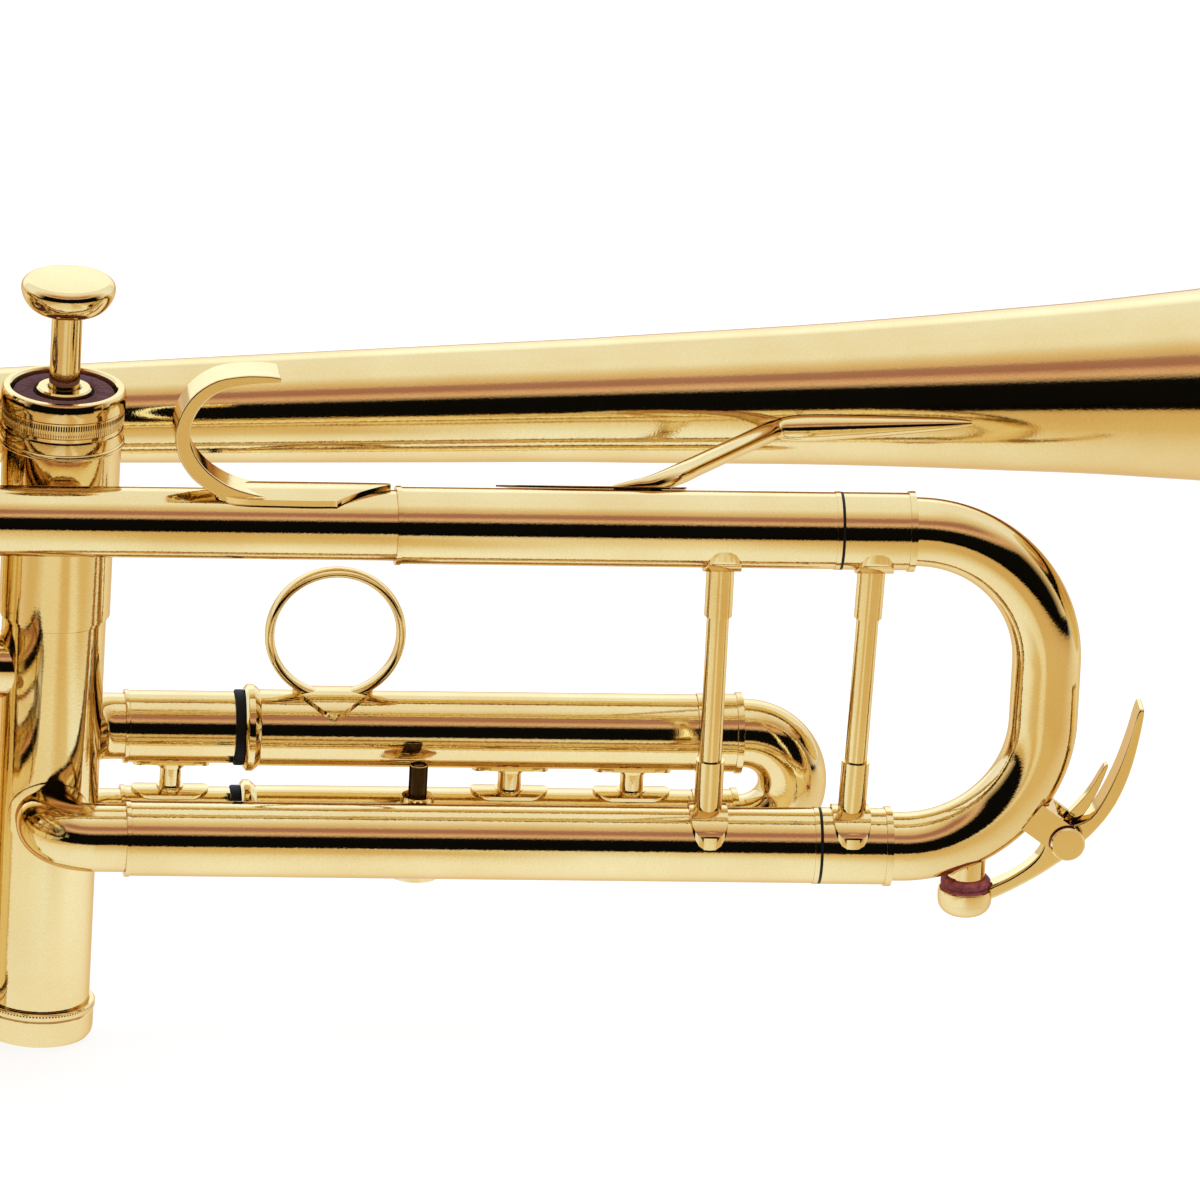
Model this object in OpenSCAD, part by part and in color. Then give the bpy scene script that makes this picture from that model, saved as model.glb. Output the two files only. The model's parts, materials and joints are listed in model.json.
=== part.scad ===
// Three-valve trumpet in B flat, built as an assembly of its separate pieces.
// Millimetres. X runs towards the bell, Y to the player's left, Z up the valves.
// The origin is on the second valve's axis, on the underside of its bottom cap.

/* [Valves] */
// Distance between neighbouring valve axes
valve_pitch = 22.8; // [22.6:0.1:24]
// Piston outer radius
piston_r = 8.42; // [8.2:0.01:8.5]
// Radial running clearance of pistons, slides and pivots
run_gap = 0.03; // [0.02:0.01:0.08]
// Height of the casing seam, where the upper casing begins
seam_z = 80.3; // [78:0.1:84]
// Lower casing outer radius
casing_r = 9.3; // [9.1:0.05:9.6]
// Upper casing outer radius
upper_r = 9.95; // [9.7:0.05:10.2]
// Height of the top caps' upper rim
cap_z = 123.1; // [121:0.1:125]
// Valve stroke
stroke = 14.2; // [13:0.1:16]
// Finger button radius
button_r = 8.46; // [8:0.02:9]
// Finger button height
button_h = 6; // [4:0.1:7]
// Valve stem radius
stem_r = 2.75; // [2.4:0.05:3]

/* [Leadpipe and main slide] */
// Leadpipe distance to the player's right of the valves
lead_y = 17.3; // [17.1:0.1:19]
// Leadpipe axis height
lead_z = 103.8; // [102:0.1:105]
// Leadpipe outer radius
lead_r = 6.3; // [6.1:0.05:6.5]
// Main slide distance between leg axes
main_cc = 60; // [58:0.1:62]
// How much larger than the leadpipe the upper outer sleeve's radius is
sleeve_step = 0.57; // [0.55:0.01:0.7]
// How much larger than the leadpipe the lower outer sleeve's radius is
low_sleeve_step = 0.45; // [0.42:0.01:0.6]
// How much smaller than the leadpipe the main crook's radius is
crook_step = 0.15; // [0.05:0.05:0.3]
// Main crook corner radius on the tube axis
crook_rb = 24.5; // [22:0.1:28]
// Where the main crook's corners begin
crook_x = 174.2; // [172:0.1:178]
// Main slide sleeve wall
wall = 0.5; // [0.45:0.05:0.6]

/* [Third slide] */
// Third slide distance to the player's left of the valves
third_y = 9; // [8.5:0.1:9.5]
// Third slide upper leg height
third_z = 55; // [54:0.1:56]
// Distance between the legs of the short slides
slide_cc = 18.3; // [18:0.1:19]
// Valve slide inner leg radius
leg_r = 5.92; // [5.8:0.01:6]
// Valve slide fixed sleeve radius
fixed_r = 6.45; // [6.4:0.01:6.6]
// Third slide moving sleeve radius
third_r = 6.83; // [6.7:0.01:6.9]
// Finger ring inner radius
ring_ri = 10.9; // [10:0.1:11.5]
// Finger ring band thickness
ring_t = 1.75; // [1.5:0.05:1.9]
// Finger ring band width
ring_w = 3.6; // [2.6:0.1:5]
// Finger ring position along the slide
ring_x = 74.1; // [72:0.1:80]

/* [Bell] */
// Bell axis distance to the player's left, at the third valve
bell_y = 25; // [24:0.1:28]
// Bell axis height there
bell_z = 108.8; // [107:0.1:110]
// Outward angle of the bell
bell_yaw = 3; // [2:0.1:4]
// Upward angle of the bell
bell_pitch = 1.18; // [0.5:0.02:2]
// Bell wall
bell_wall = 0.6; // [0.5:0.05:0.9]
// Bell rim bead radius
bead_r = 1.3; // [1:0.1:1.6]
// Bell bow distance between leg axes
bow_cc = 56; // [52:0.5:60]
// Bell bow tube radius
bow_r = 6.2; // [6:0.05:6.4]

/* [Lyre holder] */
// Lyre shank bore radius
lyre_r = 2.1; // [2:0.05:2.3]
// Lyre barrel radius
lyre_barrel_r = 4.75; // [4.5:0.05:5]
// Lyre holder position along the third slide
lyre_x = 88.9; // [87:0.1:92]
// Lyre barrel distance to the player's right of the valves
lyre_y = 3.5; // [3.3:0.1:3.7]

/* [Water key] */
// Nipple distance past the start of the crook's lower corner
nip_dx = 12.2; // [10:0.1:13]
// Nipple radius
nip_r = 3.4; // [3.2:0.1:3.6]
// How far the nipple stands out below the crook
nip_drop = 1.98; // [1.8:0.01:2.4]
// Cork radius
cork_r = 4.46; // [4.2:0.01:4.6]
// Cork height
cork_h = 4.75; // [4.5:0.05:5]
// Angle of the pivot round the crook's corner, below level
key_angle = 36.3; // [35:0.1:38]
// Pivot distance from the crook's surface
key_off = 5.97; // [5.8:0.01:6.2]

/* [Part] */
// Which node to draw

/* [Hidden] */
$fn = 96;
eps = 0.5;
bore_r = piston_r + run_gap;
main_z = lead_z - main_cc;
main_up_r = lead_r + sleeve_step;
main_lo_r = lead_r + low_sleeve_step;
crook_r = lead_r - crook_step;
main_up_ri = main_up_r - wall;
main_lo_ri = main_lo_r - wall + 0.05;
up_leg_r = main_up_ri - run_gap;
lo_leg_r = main_lo_ri - run_gap;
leg_wall = 0.47;
fixed_ri = leg_r + run_gap;
lower3_z = third_z - slide_cc;
short_z = 66;
port_r = 5.5;
elbow_r = lead_r - 0.2;
elbow_rb = 7.2;
spigot_r = 9.6;
inner_r = 8.9;
barrel_r = bore_r - 0.3;
ceil_z = cap_z - 5.1;
lid_z = ceil_z - 1.8;
button_z = cap_z - 0.1 + stroke;
knuckle_rb = 7.6;
knuckle_d = (third_y - knuckle_rb * (1 - cos(45))) / sin(45);
valve3 = valve_pitch;
valve1 = -valve_pitch;
up_end = crook_x - 13.9;
lo_end = crook_x - 14.8;
up_leg_end = crook_x - 6.2;
lo_leg_end = crook_x - 7.2;
brass = [0.85, 0.66, 0.32];
silver = [0.78, 0.78, 0.78];
dark = [0.25, 0.12, 0.12];
// bell outline: distance from the pivot point of the bell's frame, outer radius
tail_x = -140.6;
bell_pts = [[tail_x, bow_r], [-132, bow_r], [-95.6, 6.75], [-58.4, 7.5], [0, 9.06], [50, 10.3],
  [80, 11], [94, 11.5], [123, 12.5], [144.5, 13.6], [159, 14.5], [173.5, 15.4], [187.5, 16.6],
  [196, 17.4], [206, 18.8], [216, 20.8], [226, 23.8], [235, 28], [242.5, 33.4], [248, 39.4],
  [252, 46], [254.6, 53], [256, 60.2]];

// a tube along X, Y or Z between two stations
module pipe_z(z0, z1, ro, ri) {
  translate([0, 0, z0]) difference() {
    cylinder(h = z1 - z0, r = ro);
    translate([0, 0, -eps]) cylinder(h = z1 - z0 + 2 * eps, r = ri);
  }
}
module pipe_x(x0, x1, ro, ri) { rotate([0, 90, 0]) pipe_z(x0, x1, ro, ri); }
module pipe_y(y0, y1, ro, ri) { rotate([-90, 0, 0]) pipe_z(y0, y1, ro, ri); }
module rod_x(x0, x1, r) { translate([x0, 0, 0]) rotate([0, 90, 0]) cylinder(h = x1 - x0, r = r); }
module rod_y(y0, y1, r) { translate([0, y0, 0]) rotate([-90, 0, 0]) cylinder(h = y1 - y0, r = r); }
// a bent tube about Z, from angle a0 to a1
module bend(rb, ro, ri, a0, a1) {
  rotate([0, 0, a0]) rotate_extrude(angle = a1 - a0) translate([rb, 0]) difference() {
    circle(r = ro);
    if (ri > 0) circle(r = ri);
  }
}
// the same in the XZ plane
module bend_xz(rb, ro, ri, a0, a1) { rotate([90, 0, 0]) bend(rb, ro, ri, a0, a1); }
// a ring with a drawn outline of [radius, height] points
module turned(pts) { rotate_extrude() polygon(pts); }
// a stadium outline, long along Y when ly > lx
module stadium(lx, ly) {
  if (ly > lx) { square([2 * lx, 2 * (ly - lx)], center = true);
    for (s = [-1, 1]) translate([0, s * (ly - lx)]) circle(r = lx); }
  else { square([2 * (lx - ly), 2 * ly], center = true);
    for (s = [-1, 1]) translate([s * (lx - ly), 0]) circle(r = ly); }
}
// a thin saddle on a tube of radius r along X: top side (s = 1) or underside (s = -1)
module saddle(r, t, lx, ly, s) {
  intersection() {
    pipe_x(-lx - eps, lx + eps, r + t, r);
    translate([0, 0, s > 0 ? 0 : -r - 5]) linear_extrude(r + 5) stadium(lx, ly);
  }
}
// a round post between an upper tube of radius ru and a lower one of radius rl, d apart,
// whose foot leans back by lean
module post(ru, rl, d, rod, lx, ly, knob, lean) {
  difference() {
    rotate([0, atan2(lean, d), 0]) {
      translate([0, 0, -d]) cylinder(h = d, r = rod);
      translate([0, 0, -ru - knob]) cylinder(h = ru + knob, r = rod + 0.5);
      translate([0, 0, -d]) cylinder(h = rl + knob, r = rod + 0.5);
    }
    rod_x(-20, 20, ru);
    translate([0, 0, -d]) rod_x(-20, 20, rl);
  }
  saddle(ru, 0.55, lx, ly, -1);
  translate([-lean, 0, -d]) saddle(rl, 0.55, lx, ly, 1);
}

// ---- valves
module port(a, z) { translate([0, 0, z]) rotate([0, 0, a]) rod_x(0, 15, port_r); }
module casing(ports) {
  color(brass) difference() {
    turned([[bore_r, 1.5], [casing_r, 1.5], [casing_r, seam_z - 0.9], [casing_r + 0.25, seam_z - 0.7],
      [casing_r + 0.25, seam_z], [upper_r, seam_z], [upper_r, cap_z - 20], [upper_r + 0.65, cap_z - 18.6],
      [upper_r + 0.65, cap_z - 10.7], [spigot_r, cap_z - 10.7], [spigot_r, ceil_z - 0.5],
      [inner_r, ceil_z - 0.5], [inner_r, seam_z], [bore_r, seam_z]]);
    for (p = ports) port(p[0], p[1]);
  }
}
module valve_casing_1() {
  translate([valve1, 0, 0]) casing([[0, 58], [180, short_z], [180, short_z - slide_cc],
    [90 + bell_yaw, bell_z - bow_cc - 1.2]]);
}
module valve_casing_2() { casing([[180, 58], [0, 70], [-90, short_z], [-90, short_z - slide_cc]]); }
module valve_casing_3() {
  translate([valve3, 0, 0]) casing([[180, 70], [-90, main_z], [45, third_z], [45, lower3_z]]);
}
module per_valve() { for (i = [-1, 0, 1]) translate([i * valve_pitch, 0, 0]) children(); }
module top_caps() {
  c = cap_z;
  color(brass) per_valve() turned([[stem_r + 0.08, ceil_z], [spigot_r, ceil_z], [spigot_r, c - 10.6],
    [11, c - 10.6], [11.15, c - 10.2], [11.1, c - 9.7], [10.85, c - 9.5], [10.85, c - 7.5],
    [10.6, c - 7.1], [10.6, c - 6.6], [10.85, c - 6.3], [10.85, c - 3.6], [11.1, c - 3.3],
    [11.15, c - 1.8], [11.05, c - 0.7], [10.7, c - 0.15], [10.3, c], [9.7, c], [9.4, c - 0.4],
    [9.35, c - 3.1], [4.9, c - 3.1], [4.9, c - 0.5], [4.6, c - 0.2], [stem_r + 0.08, c - 0.2]]);
}
module bottom_caps() {
  color(brass) per_valve() turned([[0, 0], [8.6, 0], [9.5, 0.35], [10, 1.1], [10.15, 2], [10.15, 5.1],
    [9.95, 5.3], [10.3, 5.6], [10.3, 6.6], [10.05, 6.9], [casing_r, 6.9], [casing_r, 1.5], [0, 1.5]]);
}
module valve_felts() {
  color(dark) per_valve() {
    turned([[4.9, cap_z - 3.1], [9.3, cap_z - 3.1], [9.3, cap_z - 0.5], [9, cap_z - 0.2],
      [5.2, cap_z - 0.2], [4.9, cap_z - 0.5]]);
    pipe_z(ceil_z - 1.7, ceil_z, 7.5, stem_r + 0.5);
  }
}
module valve_guides() {
  color([0.92, 0.9, 0.84]) per_valve() translate([0, 0, seam_z]) {
    cylinder(h = 3, r = 6.9);
    intersection() {
      translate([-2.5, -inner_r, 0]) cube([5, 2 * inner_r, 3]);
      cylinder(h = 3, r = inner_r - 0.1);
    }
  }
}
module piston_body() {
  z0 = 28; z1 = 78;
  color(silver) {
    difference() {
      union() {
        difference() {
          translate([0, 0, z0]) cylinder(h = z1 - z0, r = piston_r);
          translate([0, 0, z0 + 1.5]) cylinder(h = z1 - z0 - 3, r = piston_r - 0.6);
        }
        intersection() {
          translate([0, 0, z0]) cylinder(h = z1 - z0, r = piston_r);
          for (i = [0:2]) translate([0, 0, z0 + 10 + 15 * i]) rotate([0, 0, 45 * i]) rod_x(-12, 12, port_r + 0.5);
        }
        difference() {
          translate([0, 0, z1]) cylinder(h = lid_z - z1, r = barrel_r);
          translate([0, 0, z1]) cylinder(h = lid_z - z1 - 2.5, r = 7.5);
          translate([-2.8, -12, z1 + 2]) cube([5.6, 24, 5.5 + stroke]);
          cylinder(h = lid_z + 1, r = 1.5);
        }
      }
      for (i = [0:2]) translate([0, 0, z0 + 10 + 15 * i]) rotate([0, 0, 45 * i]) rod_x(-12, 12, port_r);
      translate([0, 0, z0 - 1]) cylinder(h = 5, r = 1.5);
    }
  }
}
module piston_1() { translate([valve1, 0, 0]) piston_body(); }
module piston_2() { piston_body(); }
module piston_3() { translate([valve3, 0, 0]) piston_body(); }
// coil between the fixed guide and the lid of the piston's spring barrel
module spring_body() {
  z0 = seam_z + 3; h = lid_z - 2.5 - z0; wr = 0.5;
  color(silver) translate([0, 0, z0]) {
    linear_extrude(height = h, twist = -360 * 7, slices = 112, $fn = 8) translate([5.6, 0]) circle(r = wr, $fn = 8);
    pipe_z(0, 2 * wr, 5.6 + wr, 5.6 - wr);
    pipe_z(h - 2 * wr, h, 5.6 + wr, 5.6 - wr);
  }
}
module spring_1() { translate([valve1, 0, 0]) spring_body(); }
module spring_2() { spring_body(); }
module spring_3() { translate([valve3, 0, 0]) spring_body(); }
module stem_body() {
  color(silver) {
    translate([0, 0, lid_z]) cylinder(h = button_z - lid_z, r = stem_r);
    translate([0, 0, lid_z - 2.5]) cylinder(h = 3, r = 1.5);
    translate([0, 0, button_z - eps]) cylinder(h = 3 + eps, r = 1.5);
  }
}
module stem_1() { translate([valve1, 0, 0]) stem_body(); }
module stem_2() { stem_body(); }
module stem_3() { translate([valve3, 0, 0]) stem_body(); }
module button_body() {
  color(brass) translate([0, 0, button_z]) turned([[1.5, 0], [4.8, 0], [5.9, 0.3], [6.9, 1], [7.7, 2],
    [button_r - 0.2, 3.2], [button_r, 4.2], [button_r - 0.12, 4.9], [button_r - 0.45, 5.5],
    [button_r - 0.9, button_h - 0.1], [button_r - 1.4, button_h], [0, button_h - 0.2], [0, 3], [1.5, 3]]);
}
module button_1() { translate([valve1, 0, 0]) button_body(); }
module button_2() { button_body(); }
module button_3() { translate([valve3, 0, 0]) button_body(); }
module interport_tubes() {
  color(brass) for (i = [[-0.5, 58], [0.5, 70]]) difference() {
    translate([i[0] * valve_pitch, 0, i[1]]) pipe_x(-8, 8, port_r + 0.5, port_r);
    for (s = [-0.5, 0.5]) translate([(i[0] + s) * valve_pitch, 0, i[1] - 10]) cylinder(h = 20, r = casing_r);
  }
}

// ---- leadpipe, receiver and mouthpiece
lead_x0 = -158;
lead_x1 = 85.5;
rec_x0 = -188;
mp_x1 = -163;
module on_lead() { translate([0, -lead_y, lead_z]) children(); }
module leadpipe() { color(brass) on_lead() pipe_x(lead_x0, lead_x1, lead_r, lead_r - wall); }
module receiver() {
  color(brass) on_lead() translate([rec_x0, 0, 0]) rotate([0, 90, 0]) turned([[5.03, 0], [7.3, 0], [7.5, 0.6],
    [7.5, 2.4], [7.3, 3], [6.95, 3.4], [6.95, 34], [7.2, 34.4], [7.2, 36], [6.95, 36.4], [6.8, 40],
    [lead_r, 40], [lead_r, 30], [lead_r - wall, 30], [4.28, 29]]);
}
module mouthpiece() {
  color(silver) on_lead() translate([mp_x1, 0, 0]) rotate([0, -90, 0]) turned([[3.6, 0], [4.35, 0], [5, 25],
    [5.15, 25.3], [5.55, 40], [5.7, 46], [5.3, 50], [5.2, 55], [5.8, 60], [7.6, 64], [10.2, 68], [12.2, 72],
    [13, 76], [13.3, 80], [13.5, 83], [13.4, 85.5], [12.4, 87.1], [11, 87.6], [9.2, 87], [8.3, 85.2],
    [8.1, 82], [7.6, 78], [6.5, 74], [4.8, 70.5], [2.9, 68], [1.9, 66], [1.85, 62], [2.3, 50], [3.2, 25]]);
}

// ---- main tuning slide
module on_low() { translate([0, -lead_y, main_z]) children(); }
module main_upper_sleeve() {
  color(brass) on_lead() {
    pipe_x(81.5, lead_x1, main_up_r, lead_r);
    pipe_x(lead_x1, up_end, main_up_r, main_up_ri);
    pipe_x(81.1, 82, main_up_r + 0.2, lead_r);
    pipe_x(up_end - 0.9, up_end, main_up_r + 0.15, main_up_ri);
  }
}
elbow_end = 39.9;
module main_lower_sleeve() {
  color(brass) on_low() {
    pipe_x(35.9, elbow_end, main_lo_r, elbow_r);
    pipe_x(elbow_end, lo_end, main_lo_r, main_lo_ri);
    pipe_x(35.5, 36.4, main_lo_r + 0.2, elbow_r);
    pipe_x(lo_end - 0.9, lo_end, main_lo_r + 0.15, main_lo_ri);
  }
}
module main_elbow() {
  ri = port_r + 0.1;
  color(brass) {
    translate([valve3 + elbow_rb, -lead_y + elbow_rb, main_z]) bend(elbow_rb, elbow_r, ri, 180, 270);
    on_low() pipe_x(valve3 + elbow_rb, elbow_end, elbow_r, ri);
    difference() {
      translate([valve3, 0, main_z]) {
        rod_y(-lead_y + elbow_rb, -4, elbow_r);
        intersection() {
          translate([0, 0, -10]) cylinder(h = 20, r = casing_r + 0.5);
          rod_y(-lead_y + elbow_rb + 0.1, -2, elbow_r + 1.1);
        }
      }
      translate([valve3, 0, main_z]) rod_y(-lead_y, 0, ri);
      translate([valve3, 0, main_z - 12]) cylinder(h = 24, r = casing_r);
    }
  }
}
module main_sleeve_brace() {
  color(brass) translate([up_end - 20.8, -lead_y, lead_z])
    post(main_up_r, main_lo_r, main_cc, 2, 3.4, 6.4, 9.4, 0);
}
module main_inner_legs() {
  color(silver) {
    on_lead() pipe_x(lead_x1 + 0.6, up_leg_end, up_leg_r, up_leg_r - wall);
    on_low() pipe_x(elbow_end + 0.6, lo_leg_end, lo_leg_r, lo_leg_r - wall);
  }
}
module ferrule(x0, xm, x1, ro, ra, rb) {
  pipe_x(x0, xm, ro, ra);
  pipe_x(xm, x1, ro, rb);
  pipe_x(x1 - 1.2, x1, ro + 0.3, rb);
}
module main_ferrules() {
  color(brass) {
    on_lead() ferrule(up_end + 0.5, up_leg_end, crook_x - 0.5, main_up_r + 0.05, up_leg_r, crook_r);
    on_low() ferrule(lo_end + 0.5, lo_leg_end, crook_x - 1.7, main_lo_r + 0.1, lo_leg_r, crook_r);
  }
}
module crook_shape(r) {
  zu = lead_z - crook_rb; zl = main_z + crook_rb;
  translate([0, -lead_y, 0]) {
    translate([crook_x, 0, zu]) bend_xz(crook_rb, r, 0, 0, 90);
    translate([crook_x, 0, zl]) bend_xz(crook_rb, r, 0, -90, 0);
    translate([crook_x + crook_rb, 0, zl]) cylinder(h = zu - zl, r = r);
    translate([0, 0, lead_z]) rod_x(up_leg_end, crook_x, r);
    translate([0, 0, main_z]) rod_x(lo_leg_end, crook_x, r);
  }
}
module main_crook() {
  color(brass) difference() {
    crook_shape(crook_r);
    crook_shape(crook_r - wall);
    translate([nip_x, -lead_y, main_z - 10]) cylinder(h = 10, r = 1.2);
  }
}
module main_crook_brace() {
  color(brass) translate([crook_x - 7.5, -lead_y, lead_z])
    post(main_up_r + 0.05, main_lo_r + 0.1, main_cc, 2, 3.4, 6.4, 9.4, 1.6);
}

// ---- third valve slide
knee_x = 36.9;
fixed_end = 56.5;
move_x = fixed_end + 1.9;
move_end = 139.6;
third_leg_end = move_end + 4.4;
third_bow_r = leg_r + 0.23;
third_bow_x = move_end + 8.7;
module at_third(z) { translate([0, third_y, z]) children(); }
module third_knuckles() {
  cx = valve3 + knuckle_d * cos(45) + knuckle_rb * sin(45);
  ri = leg_r - leg_wall;
  color(brass) for (z = [third_z, lower3_z]) {
    translate([cx, third_y - knuckle_rb, z]) bend(knuckle_rb, fixed_ri, ri, 90, 135);
    at_third(z) pipe_x(cx - 0.4, knee_x + 2, fixed_ri - 0.02, ri + 0.02);
    difference() {
      translate([valve3, 0, z]) rotate([0, 0, 45]) pipe_x(3, knuckle_d + 0.4, fixed_ri - 0.02, ri + 0.02);
      translate([valve3, 0, z - 10]) cylinder(h = 20, r = casing_r);
    }
  }
}
module both_third() { for (z = [third_z, lower3_z]) at_third(z) children(); }
module third_fixed_sleeves() {
  color(brass) both_third() {
    pipe_x(knee_x, fixed_end, fixed_r, fixed_ri);
    pipe_x(knee_x, knee_x + 0.8, fixed_r + 0.2, fixed_ri);
  }
}
module third_fixed_brace() {
  color(brass) translate([knee_x + 8.8, third_y, third_z]) post(fixed_r, fixed_r, slide_cc, 1.9, 6.9, 3.2, 0.9, 0);
}
module third_bumpers() { color([0.1, 0.1, 0.1]) both_third() pipe_x(fixed_end + 0.15, move_x, 6.8, leg_r); }
module third_inner_legs() { color(silver) both_third() pipe_x(knee_x + 2.6, third_leg_end, leg_r, leg_r - leg_wall); }
module third_moving_sleeves() {
  color(brass) both_third() {
    pipe_x(move_x, move_end, third_r, leg_r);
    translate([move_x, 0, 0]) rotate([0, 90, 0]) turned([[leg_r, 0], [7.2, 0], [7.8, 0.5], [7.8, 1.6], [7.2, 2.4],
      [third_r, 2.7], [leg_r, 2.7]]);
  }
}
module third_ferrules() { color(brass) both_third() ferrule(move_end, third_leg_end, third_bow_x - 0.5, 7, leg_r, third_bow_r); }
module third_crook() {
  color(brass) {
    translate([third_bow_x, third_y, third_z - slide_cc / 2]) bend_xz(slide_cc / 2, third_bow_r, third_bow_r - wall, -90, 90);
    both_third() pipe_x(third_leg_end, third_bow_x, third_bow_r, third_bow_r - wall);
  }
}
module third_slide_braces() {
  color(brass) for (x = [move_end - 33, move_end - 11]) translate([x, third_y, third_z])
    post(third_r, third_r, slide_cc, 2.1, 6.9, 3.2, 0.6, 0);
}
// the ring sinks into its saddle far enough to be joined to it all the way round
ring_z = third_z + third_r + ring_ri + 0.35;
module finger_ring() {
  color(brass) difference() {
    union() {
      translate([ring_x, third_y, ring_z]) rotate([90, 0, 0]) translate([0, 0, -ring_w / 2])
        turned([[ring_ri + 0.5, 0], [ring_ri + ring_t - 0.5, 0], [ring_ri + ring_t, 0.6],
          [ring_ri + ring_t, ring_w - 0.6], [ring_ri + ring_t - 0.5, ring_w], [ring_ri + 0.5, ring_w],
          [ring_ri, ring_w - 0.6], [ring_ri, 0.6]]);
      translate([ring_x, third_y, third_z]) saddle(third_r, 0.7, 6.9, 6.4, 1);
    }
    at_third(third_z) rod_x(40, 120, third_r);
  }
}
module lyre_holder() {
  color(brass) difference() {
    union() {
      translate([lyre_x, -lyre_y, 32.2]) cylinder(h = 12.3, r = lyre_barrel_r);
      translate([lyre_x - 2.8, -lyre_y, 33.2]) cube([5.6, lyre_y + third_y - 3.4, 8.4]);
    }
    at_third(lower3_z) rod_x(60, 120, third_r);
    translate([0, -lyre_y, 36.4]) rod_x(lyre_x - 8, lyre_x + 8, lyre_r);
    for (s = [-1, 1]) translate([lyre_x + s * 7.2 - 3, -lyre_y - 6, 32]) cube([6, 12, 8.2]);
    translate([lyre_x, -lyre_y, 36.4]) cylinder(h = 12, r = 1.6 + run_gap * 2);
  }
}
module lyre_screw() {
  color([0.3, 0.28, 0.26]) translate([lyre_x, -lyre_y, 0]) {
    translate([0, 0, 38.7]) cylinder(h = 14.4, r = 1.6);
    turned([[0, 44.6], [2.8, 44.6], [3, 44.8], [3, 47.1], [2.8, 47.3], [0, 47.3]]);
  }
}

// ---- first and second valve slides
f_end = -70;
module both_short() { for (z = [short_z, short_z - slide_cc]) translate([0, 0, z]) children(); }
module first_fixed_sleeves() {
  color(brass) both_short() difference() {
    pipe_x(f_end, valve1 - 5, fixed_r, fixed_ri);
    translate([valve1, 0, -10]) cylinder(h = 20, r = casing_r);
  }
}
module first_slide_tube() {
  color(silver) {
    both_short() pipe_x(f_end - 8, -41, leg_r, leg_r - leg_wall);
    translate([f_end - 8, 0, short_z - slide_cc / 2]) bend_xz(slide_cc / 2, leg_r, leg_r - leg_wall, 90, 270);
  }
}
module first_ferrules() { color(brass) both_short() pipe_x(f_end - 7, f_end - 0.4, 7, leg_r); }
module first_thumb_saddle() {
  x = f_end - 3.7;
  color(brass) translate([x, 0, short_z]) difference() {
    union() {
      translate([0, 0, 7 + 9.6]) rotate([90, 0, 0]) intersection() {
        translate([0, 0, -4]) pipe_z(0, 8, 11.4, 9.8);
        translate([-15, -15, -5]) cube([30, 17, 10]);
      }
      saddle(7, 1.2, 3.2, 5, 1);
    }
    rod_x(-10, 10, 7);
  }
}
s_end = -24;
module second_fixed_sleeves() {
  color(brass) both_short() difference() {
    pipe_y(s_end, -5, fixed_r, fixed_ri);
    translate([0, 0, -10]) cylinder(h = 20, r = casing_r);
  }
}
module second_slide_tube() {
  color(silver) {
    both_short() pipe_y(s_end - 6, -12, leg_r, leg_r - leg_wall);
    translate([0, s_end - 6, short_z - slide_cc / 2]) rotate([0, 0, 90])
      bend_xz(slide_cc / 2, leg_r, leg_r - leg_wall, 90, 270);
    translate([0, s_end - 6 - slide_cc / 2 - leg_r + 0.4, short_z - slide_cc / 2]) rotate([90, 0, 0])
      turned([[0, 0], [2.2, 0], [1.8, 1.6], [1.8, 2.4], [3.2, 3.4], [3.5, 4.6], [3, 6], [1.6, 6.8], [0, 7]]);
  }
}
module second_ferrules() { color(brass) both_short() pipe_y(s_end - 5, s_end - 0.4, 7, leg_r); }

// ---- bell
// outline moved by t along its normal, towards the axis when t > 0
function nrm(i) = let (a = bell_pts[max(0, i - 1)], b = bell_pts[min(len(bell_pts) - 1, i + 1)],
  d = b - a, l = norm(d)) [d[1] / l, -d[0] / l];
function shifted(i, t) = bell_pts[i] + t * nrm(i);
module bell_frame() {
  translate([bell_x, bell_y, bell_z]) rotate([0, 0, bell_yaw]) rotate([0, -bell_pitch, 0]) children();
}
bell_x = 35.6;
// solid of revolution along local X
module spun(pts) { rotate([0, 90, 0]) rotate_extrude() polygon(pts); }
module bell_solid(t) {
  n = len(bell_pts) - 1;
  spun(concat([[0, tail_x]], [for (i = [0:n]) let (p = shifted(i, -t)) [p[1], i == 0 ? tail_x : p[0]]],
    [[0, bell_pts[n][0]]]));
}
module bell() {
  n = len(bell_pts) - 1;
  color(brass) bell_frame() {
    spun(concat([for (i = [0:n]) [bell_pts[i][1], bell_pts[i][0]]],
      [for (i = [n:-1:0]) let (p = shifted(i, bell_wall)) [p[1], i == 0 ? tail_x : p[0]]]));
    rotate([0, 90, 0]) rotate_extrude() translate([60.2, bell_pts[n][0] + 0.4]) circle(r = bead_r, $fn = 24);
  }
}
module bell_bow() {
  x0 = -146; ri = bow_r - wall;
  // first valve's axis, in the bell's frame
  vx = (valve1 - bell_x) * cos(bell_yaw) - bell_y * sin(bell_yaw);
  vy = -(valve1 - bell_x) * sin(bell_yaw) - bell_y * cos(bell_yaw);
  color(brass) {
    bell_frame() {
      pipe_x(x0, tail_x, bow_r, ri);
      translate([x0, 0, -bow_cc / 2]) bend_xz(bow_cc / 2, bow_r, ri, 90, 270);
      translate([0, 0, -bow_cc]) pipe_x(x0, vx - elbow_rb, bow_r, ri);
      translate([vx - elbow_rb, -elbow_rb, -bow_cc]) bend(elbow_rb, bow_r, ri, 0, 90);
    }
    difference() {
      bell_frame() translate([vx, 0, -bow_cc]) pipe_y(vy + 5, -elbow_rb, bow_r, ri);
      translate([valve1, 0, 30]) cylinder(h = 50, r = casing_r);
    }
  }
}
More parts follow.
